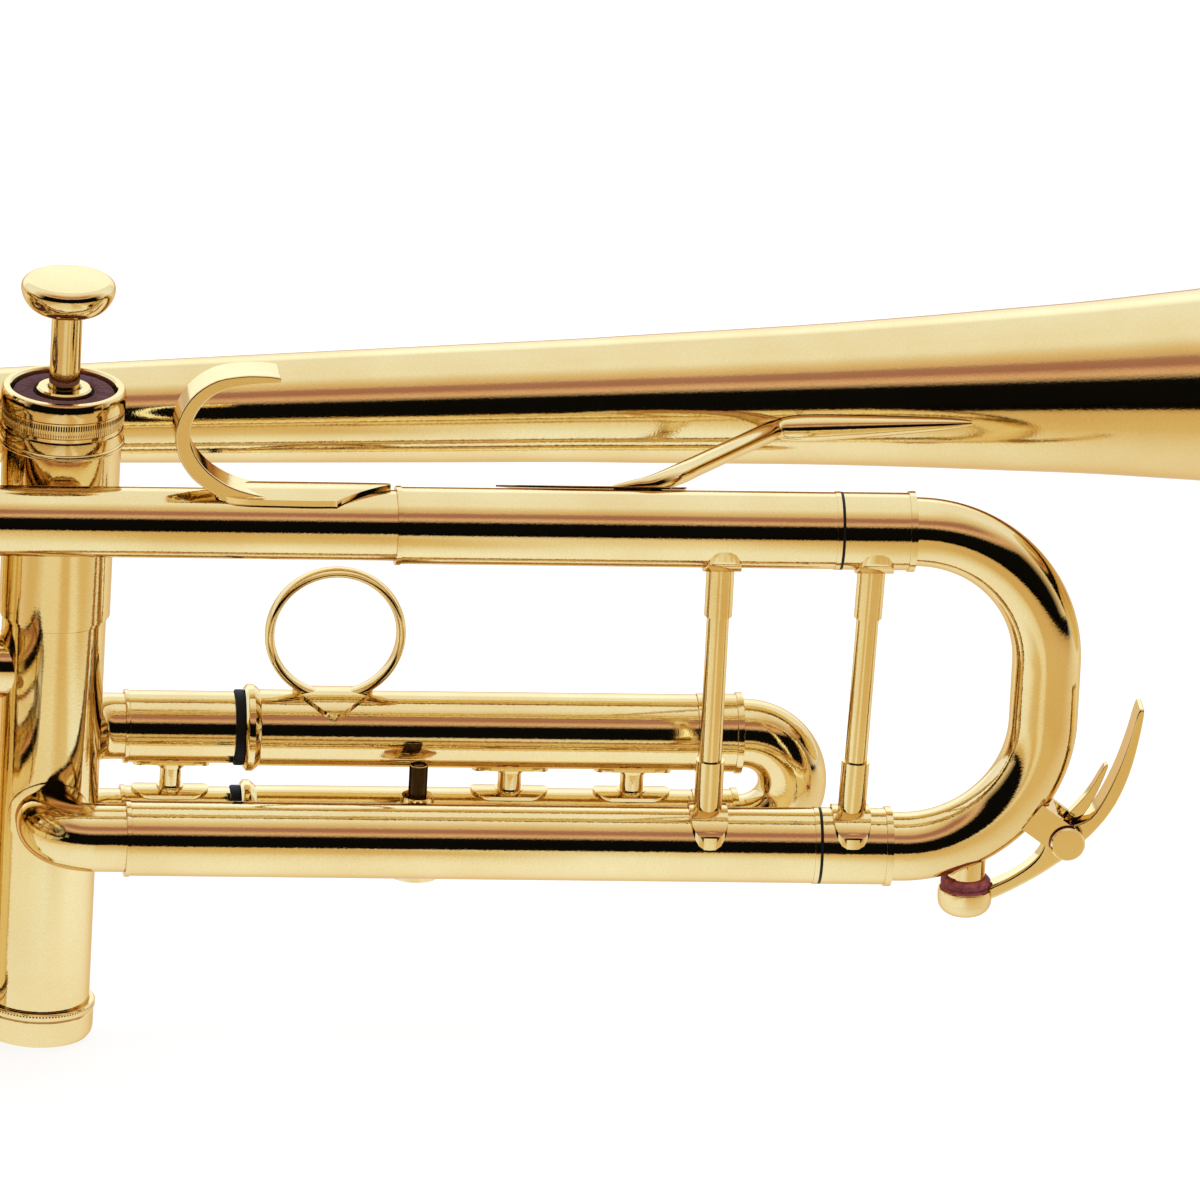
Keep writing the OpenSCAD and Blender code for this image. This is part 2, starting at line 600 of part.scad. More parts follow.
module bell_ferrule() {
  color(brass) bell_frame() {
    pipe_x(tail_x - 5.4, tail_x + 8, bow_r + 0.6, bow_r);
    for (x = [tail_x - 5.4, tail_x + 6.8]) pipe_x(x, x + 1.2, bow_r + 0.95, bow_r);
  }
}
module bell_rear_brace() {
  color(brass) difference() {
    union() {
      translate([-85, 0, lead_z + 1.2]) {
        rod_y(-lead_y, bell_y - 6.3, 1.8);
        rod_y(-lead_y, -lead_y + lead_r + 4, 2.6);
        rod_y(bell_y - 6.3 - 10.5, bell_y - 6.3, 2.6);
      }
      translate([-85, -lead_y, lead_z]) rotate([-90, 0, 0]) saddle(lead_r, 0.55, 5, 4, 1);
    }
    on_lead() rod_x(-100, -70, lead_r);
    bell_frame() bell_solid(0);
  }
}
module s_brace() {
  // the foot leans over the sleeve's far side, and the rod starts above it
  lean = 24; x0 = up_end - 31.3; rise = main_up_r + 1.4;
  from = [x0, -lead_y + rise * sin(lean), lead_z + rise * cos(lean)];
  to = [x0 + 23.5, 18.6, lead_z + 5.8];
  way = to - from;
  // where the arm begins along the bell, in the bell's frame
  s = to[0] - bell_x - 4.9;
  color(brass) difference() {
    union() {
      translate([x0 - 14.5, -lead_y, lead_z]) rotate([-lean, 0, 0]) intersection() {
        saddle(main_up_r, 0.7, 15.5, 3.2, 1);
        linear_extrude(20) polygon([[-15.5, -0.6], [-9, -3.2], [16, -3.2], [16, 3.2], [-9, 3.2], [-15.5, 0.6]]);
      }
      translate(from) {
        sphere(r = 1.8);
        rotate([0, -atan2(way[2], norm([way[0], way[1]])), atan2(way[1], way[0])]) rod_x(0, norm(way), 1.8);
        // the rod's end, drawn out into the foot
        rotate([0, -100, 0]) cylinder(h = 9, r1 = 1.8, r2 = 0.6);
      }
      translate([x0, -lead_y, lead_z]) rotate([-lean, 0, 0]) cylinder(h = rise - 0.2, r = 1.7);
      bell_frame() intersection() {
        bell_solid(1.5);
        rotate([90, 0, 0]) linear_extrude(40)
          polygon([[s, -3.9], [s + 3, -4.4], [s + 9, -4.2], [s + 35, -1.5], [s + 37, -0.3], [s + 35, 0.9],
            [s + 9, 1.8], [s + 3, 1.6], [s, 0.9]]);
      }
    }
    on_lead() rod_x(x0 - 40, x0 + 20, main_up_r);
    bell_frame() bell_solid(0);
  }
}
hook_x = 52.4;
hook_r = 11.4;
hook_t = 2.3;
hook_w = 7.4;
module pinky_hook() {
  hz = lead_z + lead_r + 0.1 + hook_r;
  color(brass) difference() {
    union() {
      translate([hook_x, -lead_y + hook_w / 2, hz]) rotate([90, 0, 0]) {
        rotate([0, 0, 90]) rotate_extrude(angle = 185) translate([hook_r - hook_t, 0]) square([hook_t, hook_w]);
        translate([0, hook_r - hook_t, 0]) cube([5.8, hook_t, hook_w]);
        translate([5.8, hook_r - hook_t / 2, 0]) cylinder(h = hook_w, r = hook_t / 2);
      }
      translate([hook_x + 12, -lead_y, lead_z]) intersection() {
        pipe_x(-17, 17, lead_r + 1.1, lead_r - 0.2);
        linear_extrude(20) polygon([[-16, -3.7], [-12, -3.9], [0, -4], [6, -3.9], [15, 1], [15, 3],
          [0, 3.9], [-12, 3.8], [-16, 3.7]]);
      }
      // the strap's foot, swept out along the leadpipe
      translate([hook_x, -lead_y + hook_w / 2, lead_z]) rotate([90, 0, 0]) linear_extrude(hook_w)
        polygon([[-5.5, lead_r - 1.4], [9, lead_r - 1.4], [9, lead_r + 0.4], [6, lead_r + 0.9], [4.4, lead_r + 1.9],
          [3.2, lead_r + 3.4], [-3, lead_r + 3.4], [-3.4, lead_r + 1.4], [-5.5, lead_r + 0.5]]);
    }
    on_lead() rod_x(20, 81, lead_r);
  }
}

// ---- water key on the main crook
// the crook's lower corner, solid, with the seam of its round section on the inside of the bend
module lower_corner() {
  translate([crook_x, -lead_y, main_z + crook_rb]) rotate([90, 0, 0]) rotate([0, 0, -90])
    rotate_extrude(angle = 90) translate([crook_rb, 0]) rotate(180) circle(r = crook_r);
}
key_reach = crook_rb + crook_r + key_off;
piv_x = crook_x + key_reach * cos(key_angle);
piv_z = main_z + crook_rb - key_reach * sin(key_angle);
ear_turn = 180 - key_angle;
tube_far = crook_r + key_off;
nip_x = crook_x + nip_dx;
nip_z = main_z + crook_rb - sqrt((crook_rb + crook_r) ^ 2 - nip_dx ^ 2) - nip_drop;
cork_z = nip_z - 0.05 - cork_h;
ear_y = 3.3;
ear_t = 1.4;
module water_key_mount() {
  color(brass) {
    difference() {
      translate([nip_x, -lead_y, 0]) pipe_z(nip_z, main_z, nip_r, 1.2);
      lower_corner();
    }
    translate([piv_x, -lead_y, piv_z]) rotate([90, 0, 0]) difference() {
      union() {
        for (y = [-ear_y - ear_t, ear_y]) translate([0, 0, y]) {
          cylinder(h = ear_t, r = 2.9);
          rotate([0, 0, ear_turn]) translate([0, -2.9, 0]) cube([9.5, 5.8, ear_t]);
        }
        rotate([0, 0, ear_turn]) translate([4.4, -2.9, -ear_y - 0.2]) cube([4, 5.8, 2 * ear_y + 0.4]);
      }
      translate([0, 0, -10]) cylinder(h = 20, r = 1);
      rotate([0, 0, ear_turn]) translate([tube_far, 0, 0]) rotate([90, 0, 0])
        cylinder(h = 20, r = crook_r, center = true);
    }
  }
}
module water_key_screw() {
  color(silver) translate([piv_x, -lead_y, piv_z]) {
    rod_y(-4.7, 4.7, 1);
    rod_y(-5.7, -4.7, 1.9);
  }
}
module water_key_lever() {
  // the cup's edge as seen from the pivot
  dx = nip_x - piv_x + cork_r;
  dz = cork_z - piv_z;
  color(brass) difference() {
    union() {
      translate([piv_x, -lead_y, piv_z]) rotate([90, 0, 0]) {
        translate([0, 0, -ear_y + 0.2]) cylinder(h = 2 * ear_y - 0.4, r = 2.4);
        translate([0, 0, -2]) linear_extrude(4) polygon([[-1.6, -1.9], [dx * 0.58, dz * 0.67], [dx - 1.2, dz + 0.2],
          [dx - 1.7, dz + 2], [dx * 0.82, dz * 0.67], [dx * 0.51, dz * 0.42], [-2.2, 1.2]]);
        translate([0, 0, -ear_y + 0.3]) linear_extrude(2 * ear_y - 0.6) polygon([[0.4, 2.3], [2.2, -0.8], [5.6, 2.4],
          [8.4, 6.9], [10.5, 12.3], [11.9, 18.2], [12.7, 24.4], [11.9, 24.9], [10.6, 19.2], [9, 13.4], [6.8, 7.9],
          [4.2, 3.9]]);
      }
      translate([nip_x, -lead_y, cork_z]) turned([[0, -2.3], [2.6, -2], [4.2, -1.1], [cork_r + 0.39, 0.2],
        [cork_r + 0.39, 2.8], [cork_r, 2.8], [cork_r, 0], [0, 0]]);
    }
    translate([piv_x, -lead_y, piv_z]) rod_y(-5, 5, 1 + run_gap);
    translate([nip_x, -lead_y, cork_z]) cylinder(h = 2 * cork_h, r = cork_r);
  }
}
module water_key_cork() { color(dark) translate([nip_x, -lead_y, cork_z]) cylinder(h = cork_h, r = cork_r); }

valve_casing_1();
valve_casing_2();
valve_casing_3();
top_caps();
bottom_caps();
valve_felts();
valve_guides();
piston_1();
piston_2();
piston_3();
spring_1();
spring_2();
spring_3();
stem_1();
stem_2();
stem_3();
button_1();
button_2();
button_3();
interport_tubes();
leadpipe();
receiver();
mouthpiece();
main_upper_sleeve();
main_lower_sleeve();
main_elbow();
main_sleeve_brace();
main_inner_legs();
main_ferrules();
main_crook();
main_crook_brace();
third_knuckles();
third_fixed_sleeves();
third_fixed_brace();
third_bumpers();
third_inner_legs();
third_moving_sleeves();
third_ferrules();
third_crook();
third_slide_braces();
finger_ring();
lyre_holder();
lyre_screw();
first_fixed_sleeves();
first_slide_tube();
first_ferrules();
first_thumb_saddle();
second_fixed_sleeves();
second_slide_tube();
second_ferrules();
bell();
bell_bow();
bell_ferrule();
bell_rear_brace();
s_brace();
pinky_hook();
water_key_lever();
water_key_cork();
water_key_mount();
water_key_screw();
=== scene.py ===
"""The looks of a lacquered brass trumpet in B flat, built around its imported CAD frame.

Metres, in the frame of the CAD: X runs towards the bell, Y to the player's left and Z up the valves.
The camera comes first, then the finishes, the bench work, the studio and one class per sub-assembly.
A CAD piece whose shape is right is shown as a polished copy, merged and smoothed. The bell, the finger
buttons, knurls, felts, the S-brace, the hook, the finger ring, saddles, grease and the water key's
lever, cork and spring are modelled here.
"""

from __future__ import annotations

import json
import logging
import math
from collections.abc import Sequence
from dataclasses import dataclass
from enum import Enum
from typing import Any

import bpy
from mathutils import Matrix, Vector
from mathutils.bvhtree import BVHTree

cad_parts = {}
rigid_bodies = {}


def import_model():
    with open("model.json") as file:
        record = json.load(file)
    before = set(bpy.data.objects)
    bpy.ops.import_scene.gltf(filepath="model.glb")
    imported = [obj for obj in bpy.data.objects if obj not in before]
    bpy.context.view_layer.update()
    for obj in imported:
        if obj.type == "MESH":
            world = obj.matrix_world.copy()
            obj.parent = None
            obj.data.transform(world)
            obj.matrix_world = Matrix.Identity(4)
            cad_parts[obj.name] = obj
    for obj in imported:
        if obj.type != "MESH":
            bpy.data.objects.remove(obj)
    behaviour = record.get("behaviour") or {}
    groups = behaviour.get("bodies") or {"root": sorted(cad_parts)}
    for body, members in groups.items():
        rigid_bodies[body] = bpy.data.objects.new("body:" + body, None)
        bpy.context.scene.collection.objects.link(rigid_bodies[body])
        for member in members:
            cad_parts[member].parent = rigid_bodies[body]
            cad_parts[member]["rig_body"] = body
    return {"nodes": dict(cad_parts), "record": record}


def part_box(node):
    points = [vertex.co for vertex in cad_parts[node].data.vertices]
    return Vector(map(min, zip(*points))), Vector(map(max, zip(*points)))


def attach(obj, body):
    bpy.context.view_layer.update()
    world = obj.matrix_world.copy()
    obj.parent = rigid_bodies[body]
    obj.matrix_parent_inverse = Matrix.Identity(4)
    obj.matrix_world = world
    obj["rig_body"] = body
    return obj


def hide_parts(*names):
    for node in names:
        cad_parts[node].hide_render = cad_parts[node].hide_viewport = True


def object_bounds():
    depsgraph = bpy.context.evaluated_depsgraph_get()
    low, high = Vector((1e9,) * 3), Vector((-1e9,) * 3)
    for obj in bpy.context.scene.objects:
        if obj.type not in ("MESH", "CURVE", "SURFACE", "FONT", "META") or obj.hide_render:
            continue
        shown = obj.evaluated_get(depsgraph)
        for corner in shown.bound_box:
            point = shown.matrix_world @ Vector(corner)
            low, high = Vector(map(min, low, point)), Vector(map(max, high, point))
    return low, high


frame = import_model()
CAD_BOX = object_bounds()
log = logging.getLogger("trumpet")

PHOTO_W = 1200
PHOTO_H = 1200
SENSOR = 36.0
FULL_TURN = math.tau
MM = 0.001
# How far, in pixels, a measured column reaches to each side
COLUMN = 8.0
# A lathe's Z laid along X
ON_X = Matrix.Rotation(math.pi / 2, 4, "Y")


class Edge(Enum):
    """The side of a piece, as the camera sees it, that an image point marks."""

    LEFT = "left"
    RIGHT = "right"
    TOP = "top"
    BOTTOM = "bottom"


@dataclass(frozen=True)
class ImagePoint:
    """A named place in the photograph, with the piece and the side of it that shows there.

    Attributes:
        x: Pixels from the left, or None where only the height counts.
        y: Pixels from the top, or None where only the sideways place counts.
        piece: Name of the finished piece.
        edge: The side that is measured.
    """

    x: float | None
    y: float | None
    piece: str
    edge: Edge


POINTS = {
    "object_top": ImagePoint(None, 266, "button_3_turned", Edge.TOP),
    "object_bottom": ImagePoint(None, 1048, "bottom_caps_polished", Edge.BOTTOM),
    "button_left": ImagePoint(23.5, None, "button_3_turned", Edge.LEFT),
    "button_right": ImagePoint(118.5, None, "button_3_turned", Edge.RIGHT),
    "felt_back": ImagePoint(None, 369, "valve_felt_ring_3", Edge.TOP),
    "cap_knurl_top": ImagePoint(66, 427, "cap_knurl_3", Edge.TOP),
    "cap_knurl_bottom": ImagePoint(66, 440, "cap_knurl_3", Edge.BOTTOM),
    "upper_sleeve_end": ImagePoint(391, None, "main_upper_sleeve_polished", Edge.LEFT),
    "crook_right": ImagePoint(1081, None, "main_crook_polished", Edge.RIGHT),
    "third_crook_right": ImagePoint(826, None, "third_crook_polished", Edge.RIGHT),
    "ring_left": ImagePoint(266, None, "finger_ring_turned", Edge.LEFT),
    "ring_top": ImagePoint(None, 565, "finger_ring_turned", Edge.TOP),
    "hook_left": ImagePoint(174, None, "pinky_hook_strap", Edge.LEFT),
    "hook_top": ImagePoint(None, 364, "pinky_hook_strap", Edge.TOP),
    "lyre_bottom": ImagePoint(None, 882, "lyre_holder_polished", Edge.BOTTOM),
    "leaf_tip": ImagePoint(1143, 712, "water_key_leaf", Edge.RIGHT),
    "key_bottom": ImagePoint(None, 919, "water_key_cup", Edge.BOTTOM),
    "spring_leg_end": ImagePoint(1103, 762, "water_key_rest", Edge.TOP),
}


# ---- camera


@dataclass(frozen=True)
class Viewpoint:
    """The photographer's place, worked out from the image points.

    Attributes:
        azimuth: Turn to the left of a square-on view, in degrees.
        elevation: Height above the horizon, in degrees.
        roll: Lean of the picture, in degrees.
        distance: Metres from the aim point.
        aim: What the middle of the picture looks at.
        lens: Focal length in millimetres.
    """

    azimuth: float = -6.4
    elevation: float = 20.7
    roll: float = 2.95
    distance: float = 5.0
    aim: tuple[float, float, float] = (0.11829, -0.0173, 0.09011)
    lens: float = 845.1

    def axes(self) -> tuple[Vector, Vector, Vector]:
        """Works out the camera's own axes.

        Returns:
            The directions of its right, its up and its back.
        """
        a, e, lean = (math.radians(v) for v in (self.azimuth, self.elevation, self.roll))
        right = Vector((math.cos(a), math.sin(a), 0))
        up = Vector((-math.sin(a) * math.sin(e), math.cos(a) * math.sin(e), math.cos(e)))
        back = Vector((math.sin(a) * math.cos(e), -math.cos(a) * math.cos(e), math.sin(e)))
        rolled = right * math.cos(lean) + up * math.sin(lean)
        return rolled, up * math.cos(lean) - right * math.sin(lean), back

    def place(self) -> Vector:
        """Gives the camera's position."""
        return Vector(self.aim) + self.axes()[2] * self.distance

    def build(self) -> bpy.types.Object:
        """Makes the scene's camera.

        Returns:
            The camera, which the scene then uses.
        """
        data = bpy.data.cameras.new("photo_camera")
        data.sensor_fit = "AUTO"
        data.sensor_width = SENSOR
        data.lens = self.lens
        camera = bpy.data.objects.new("photo_camera", data)
        bpy.context.scene.collection.objects.link(camera)
        right, up, back = self.axes()
        turned = Matrix((right, up, back)).transposed().to_4x4()
        camera.matrix_world = Matrix.Translation(self.place()) @ turned
        bpy.context.scene.camera = camera
        return camera

    def ray(self, x: float, y: float) -> Vector:
        """Finds the direction in which the camera sees a place in the photograph.

        Args:
            x: Pixels from the left.
            y: Pixels from the top.

        Returns:
            The direction, of length 1.
        """
        side = max(PHOTO_W, PHOTO_H)
        right, up, back = self.axes()
        across = x - PHOTO_W / 2
        rise = PHOTO_H / 2 - y
        return (right * across + up * rise - back * side * self.lens / SENSOR).normalized()

    def seen_at(self, spot: Vector) -> tuple[float, float]:
        """Projects a point of the scene.

        Args:
            spot: The point.

        Returns:
            Its x and y in the photograph's pixels.
        """
        right, up, back = self.axes()
        arm = spot - self.place()
        scale = max(PHOTO_W, PHOTO_H) * self.lens / SENSOR / -arm.dot(back)
        return PHOTO_W / 2 + arm.dot(right) * scale, PHOTO_H / 2 - arm.dot(up) * scale


VIEW = Viewpoint()


def meet(point: ImagePoint, *carriers: bpy.types.Object) -> Vector:
    """Finds where an image point lies on the finished pieces that carry it.

    Args:
        point: The image point, with both its x and its y.
        *carriers: The pieces, as finished and placed.

    Returns:
        The place that the camera's ray meets, or the carriers' place nearest the ray.
    """
    start = VIEW.place()
    aim = VIEW.ray(point.x, point.y)
    best = None
    for carrier in carriers:
        tree = BVHTree.FromObject(carrier, bpy.context.evaluated_depsgraph_get())
        hit, _, _, reach = tree.ray_cast(start, aim)
        if hit is not None and (best is None or reach < best[0]):
            best = (reach, hit)
    if best is not None:
        return best[1]
    spots = [v.co for carrier in carriers for v in carrier.data.vertices]
    return min(spots, key=lambda spot: (spot - start).cross(aim).length).copy()


# ---- finishes


def linear(code: str) -> tuple[float, float, float, float]:
    """Turns an sRGB hex colour to the linear one that Blender's sockets take.

    Args:
        code: Six hex digits after a hash.

    Returns:
        Red, green, blue and an alpha of 1.
    """
    parts = [int(code[i : i + 2], 16) / 255 for i in (1, 3, 5)]
    red, green, blue = (p / 12.92 if p <= 0.04045 else ((p + 0.055) / 1.055) ** 2.4 for p in parts)
    return red, green, blue, 1.0


def add(
    tree: bpy.types.NodeTree, kind: str, settings: dict[str | int, Any], links: dict[str | int, Any]
) -> bpy.types.Node:
    """Adds one node, with its settings and its links.

    Args:
        tree: The node tree.
        kind: The node's type name, without its ShaderNode prefix.
        settings: Socket values by input name or number, and node properties by a name that starts with a dot.
        links: Output sockets by the name or number of the input that each goes to.

    Returns:
        The new node.
    """
    node = tree.nodes.new("ShaderNode" + kind)
    for key, value in settings.items():
        if isinstance(key, str) and key.startswith("."):
            setattr(node, key[1:], value)
        else:
            node.inputs[key].default_value = value
    for key, source in links.items():
        tree.links.new(source, node.inputs[key])
    return node


def new_tree(name: str) -> tuple[bpy.types.Material, bpy.types.NodeTree]:
    """Makes an empty node material.

    Args:
        name: The material's name.

    Returns:
        The material and its node tree.
    """
    material = bpy.data.materials.new(name)
    material.use_nodes = True
    material.node_tree.nodes.clear()
    return material, material.node_tree


def blend_of(tree: bpy.types.NodeTree, amount: Any, low: str, high: str) -> Any:
    """Mixes two colours by a value.

    Args:
        tree: The node tree.
        amount: The output socket that drives the mix.
        low: Hex colour at 0.
        high: Hex colour at 1.

    Returns:
        The mixed colour's socket.
    """
    mix = add(tree, "Mix", {".data_type": "RGBA"}, {})
    mix.inputs[6].default_value = linear(low)
    mix.inputs[7].default_value = linear(high)
    tree.links.new(amount, mix.inputs[0])
    return mix.outputs[2]


def ranged(
    tree: bpy.types.NodeTree, value: Any, low: float, high: float, span: tuple[float, float] = (0.3, 0.7)
) -> Any:
    """Maps a pattern's value to a range.

    Args:
        tree: The node tree.
        value: The pattern's socket.
        low: Result at the start of the span.
        high: Result at its end.
        span: The pattern's values that the range covers.

    Returns:
        The mapped value's socket.
    """
    settings = {"From Min": span[0], "From Max": span[1], "To Min": low, "To Max": high}
    return add(tree, "MapRange", settings, {"Value": value}).outputs["Result"]


def per_metre(size_mm: float) -> float:
    """Gives a texture's scale on Object coordinates for a pattern of that size in millimetres."""
    return 1000.0 / size_mm


@dataclass(frozen=True)
class PolishedMetal:
    """A polished and plated or lacquered metal.

    Attributes:
        name: The material's name.
        slot: The record's material slot; not used.
        colour: Its colour where light falls straight on it.
        worn: Its colour where the lacquer or plating has toned.
        rim: Its tint at a grazing angle.
        roughness: Roughness where it is brightest polished.
        haze: How much rougher the finest scratches and haze make it.
        peel_mm: Size of the ripple of lacquer or buffing.
        grain_mm: Size of the fine grain.
        ripple: Depth of the ripple in millimetres.
        speckle: How far the grain darkens the colour, from 0 to 1.
        coat: Weight of the clear lacquer.
    """

    name: str
    slot: str
    colour: str
    worn: str
    rim: str
    roughness: float = 0.1
    haze: float = 0.08
    peel_mm: float = 6.0
    grain_mm: float = 0.35
    ripple: float = 0.01
    speckle: float = 0.2
    coat: float = 0.0

    def build(self) -> bpy.types.Material:
        """Makes the node material: toning in large soft patches, haze in a fine grain, a low ripple.

        Returns:
            The material.
        """
        material, tree = new_tree(self.name)
        place = add(tree, "TexCoord", {}, {}).outputs["Object"]
        tone = add(tree, "TexNoise", {"Scale": per_metre(22.0), "Detail": 3.0}, {"Vector": place})
        grain = add(tree, "TexNoise", {"Scale": per_metre(self.grain_mm), "Detail": 2.0}, {"Vector": place})
        peel = add(tree, "TexNoise", {"Scale": per_metre(self.peel_mm), "Detail": 2.0}, {"Vector": place})
        clean = blend_of(tree, ranged(tree, tone.outputs[0], 0.0, 1.0), self.colour, self.worn)
        specks = add(tree, "Mix", {".data_type": "RGBA", ".blend_type": "MULTIPLY"}, {})
        specks.inputs[7].default_value = linear(self.worn)
        tree.links.new(clean, specks.inputs[6])
        tree.links.new(ranged(tree, grain.outputs[0], 0.0, self.speckle), specks.inputs[0])
        rough = ranged(tree, grain.outputs[0], self.roughness, self.roughness + self.haze)
        low = add(tree, "Bump", {"Strength": 0.5, "Distance": self.ripple * MM}, {"Height": peel.outputs[0]})
        fine = add(tree, "Bump", {"Strength": 0.4, "Distance": 0.00002},
                   {"Height": grain.outputs[0], "Normal": low.outputs[0]})
        metal = add(tree, "BsdfPrincipled", {"Metallic": 1.0, "Specular Tint": linear(self.rim),
                                             "Coat Weight": self.coat, "Coat Roughness": 0.05},
                    {"Base Color": specks.outputs[2], "Roughness": rough, "Normal": fine.outputs[0]})
        add(tree, "OutputMaterial", {}, {"Surface": metal.outputs[0]})
        return material


@dataclass(frozen=True)
class SoftFinish:
    """A matt finish of felt, cork, rubber or moulded plastic.

    Attributes:
        name: The material's name.
        slot: The record's material slot; not used.
        colour: The main colour.
        fleck: The colour of its flecks or fibres.
        grain_mm: Size of the flecks.
        relief_mm: Depth of the surface's grain.
        roughness: Roughness.
        sheen: Weight of the soft glow of fibres at a grazing angle.
    """

    name: str
    slot: str
    colour: str
    fleck: str
    grain_mm: float
    relief_mm: float
    roughness: float
    sheen: float = 0.0

    def build(self) -> bpy.types.Material:
        """Makes the node material: flecks from two sizes of noise, and a bump from the finer one.

        Returns:
            The material.
        """
        material, tree = new_tree(self.name)
        place = add(tree, "TexCoord", {}, {}).outputs["Object"]
        flecks = add(tree, "TexNoise", {"Scale": per_metre(self.grain_mm * 2), "Detail": 4.0},
                     {"Vector": place})
        fibre = add(tree, "TexNoise", {"Scale": per_metre(self.grain_mm), "Detail": 6.0, "Roughness": 0.7},
                    {"Vector": place})
        colour = blend_of(tree, ranged(tree, flecks.outputs[0], 0.0, 1.0), self.colour, self.fleck)
        bump = add(tree, "Bump", {"Strength": 0.8, "Distance": self.relief_mm * MM},
                   {"Height": fibre.outputs[0]})
        rough = ranged(tree, fibre.outputs[0], self.roughness - 0.08, min(1.0, self.roughness + 0.05))
        body = add(tree, "BsdfPrincipled", {"Sheen Weight": self.sheen, "Sheen Roughness": 0.4,
                                            "Specular IOR Level": 0.3},
                   {"Base Color": colour, "Roughness": rough, "Normal": bump.outputs[0]})
        add(tree, "OutputMaterial", {}, {"Surface": body.outputs[0]})
        return material


# Yellow brass, buffed bright and sprayed with clear gold lacquer, so it mirrors the room in pale gold,
# with a fine speckle in the lacquer and a warmer line where it turns away from the eye.
GOLD_LACQUER = PolishedMetal("gold_lacquered_brass", "brass", "#F1E0AD", "#EAD29A", "#E3C29C",
                             roughness=0.035, haze=0.06, ripple=0.006, coat=0.2)
# Nickel silver slide tubes, drawn and lapped: a grey white metal with a faint yellow cast.
NICKEL = PolishedMetal("lapped_nickel_silver", "nickel", "#D9D4C4", "#C9C2AE", "#8E867C", roughness=0.16)
# Silver plate on turned brass: the whitest of the metals, with a soft bright polish.
SILVER = PolishedMetal("silver_plate_on_brass", "silver_plate", "#F0EEE8", "#DEDAD0", "#9A958C",
                       roughness=0.08)
# Drawn spring wire, bright but streaked.
SPRING = PolishedMetal("drawn_spring_wire", "spring_steel", "#C8C6C0", "#A8A49C", "#6E6A66", roughness=0.22)
# Phosphor bronze wire of the water key's spring, browned by handling.
BRONZE_WIRE = PolishedMetal("browned_bronze_wire", "spring_steel", "#A06064", "#7A444A", "#4A2C2A",
                            roughness=0.25)
# Steel screws that were blackened in oil, and have gone brown.
BLACKENED = PolishedMetal("oil_blackened_steel", "dark_steel", "#3A3029", "#57452F", "#20190F", roughness=0.3)
# Pressed wool felt, dyed dark maroon: no shine, a short pale fuzz at its edges.
FELT = SoftFinish("pressed_wool_felt", "felt", "#6A3A3E", "#4E2930", 0.35, 0.12, 0.95, sheen=0.3)
# The same felt dyed black, of the washer round the stem; the black ring under each cap's felt ring uses it
# too, as painted shade in the gaps round the felt.
BLACK_FELT_AND_SHADE = SoftFinish("black_felt_and_painted_shade", "felt", "#141011", "#211A1B", 0.35, 0.1, 0.95, sheen=0.1)
# Moulded acetal of the valve guides, milky and slightly waxy.
ACETAL = SoftFinish("moulded_acetal", "guide_plastic", "#E8E4D6", "#DDD8C6", 0.8, 0.01, 0.4)
# Nitrile rubber rings, moulded, black with a low gloss.
RUBBER = SoftFinish("moulded_nitrile_rubber", "black_rubber", "#0B0A0A", "#131212", 0.6, 0.01, 0.7)
# Slide grease that has gathered in the joints, black with dust.
GREASE = SoftFinish("dark_slide_grease", "black_rubber", "#0C0A08", "#17120D", 0.4, 0.01, 0.6)
# Pressed cork of the water key, stained maroon, with darker flecks in its layers.
CORK = SoftFinish("stained_pressed_cork", "cork", "#E08890", "#984A56", 0.7, 0.08, 0.85)

Finish = PolishedMetal | SoftFinish
_made: dict[str, bpy.types.Material] = {}


def dress(piece: bpy.types.Object, finish: Finish) -> None:
    """Gives a piece its material.

    Args:
        piece: The finished piece.
        finish: The finish of all its faces.
    """
    if finish.name not in _made:
        _made[finish.name] = finish.build()
    piece.data.materials.clear()
    piece.data.materials.append(_made[finish.name])


# ---- bench work


def clear_selection() -> None:
    """Leaves edit mode and deselects everything, so that no operator acts on a piece by accident."""
    if bpy.context.object is not None and bpy.context.object.mode != "OBJECT":
        bpy.ops.object.mode_set(mode="OBJECT")
    bpy.ops.object.select_all(action="DESELECT")


def pick(piece: bpy.types.Object) -> None:
    """Selects one piece and makes it the active one.

    Args:
        piece: The piece to work on.
    """
    clear_selection()
    piece.select_set(True)
    bpy.context.view_layer.objects.active = piece


def edit_all(piece: bpy.types.Object) -> None:
    """Opens a piece in edit mode with all of it selected.

    Args:
        piece: The piece to work on.
    """
    pick(piece)
    bpy.ops.object.mode_set(mode="EDIT")
    bpy.ops.mesh.select_mode(type="VERT")
    bpy.ops.mesh.select_all(action="SELECT")


def apply_all(piece: bpy.types.Object) -> None:
    """Applies every modifier of a piece, then its place.

    Args:
        piece: The piece to work on.
    """
    pick(piece)
    for modifier in list(piece.modifiers):
        bpy.ops.object.modifier_apply(modifier=modifier.name)
    bpy.ops.object.transform_apply(location=True, rotation=True, scale=True)


def heal(piece: bpy.types.Object) -> None:
    """Merges a piece's doubled vertices and turns its faces outwards."""
    edit_all(piece)
    bpy.ops.mesh.remove_doubles(threshold=1e-6)
    bpy.ops.mesh.select_all(action="SELECT")
    bpy.ops.mesh.normals_make_consistent(inside=False)
    bpy.ops.object.mode_set(mode="OBJECT")


def smooth(piece: bpy.types.Object, angle: float = 32.0) -> None:
    """Shades a piece smooth, except across edges sharper than the angle in degrees.

    The normals are weighted by the faces' sizes, so that an eased edge leaves the flat beside it flat.
    """
    pick(piece)
    bpy.ops.mesh.customdata_custom_splitnormals_clear()
    bpy.ops.object.shade_smooth_by_angle(angle=math.radians(angle))
    weighted = piece.modifiers.new("weighted_normals", "WEIGHTED_NORMAL")
    weighted.keep_sharp = True
    bpy.ops.object.modifier_apply(modifier=weighted.name)


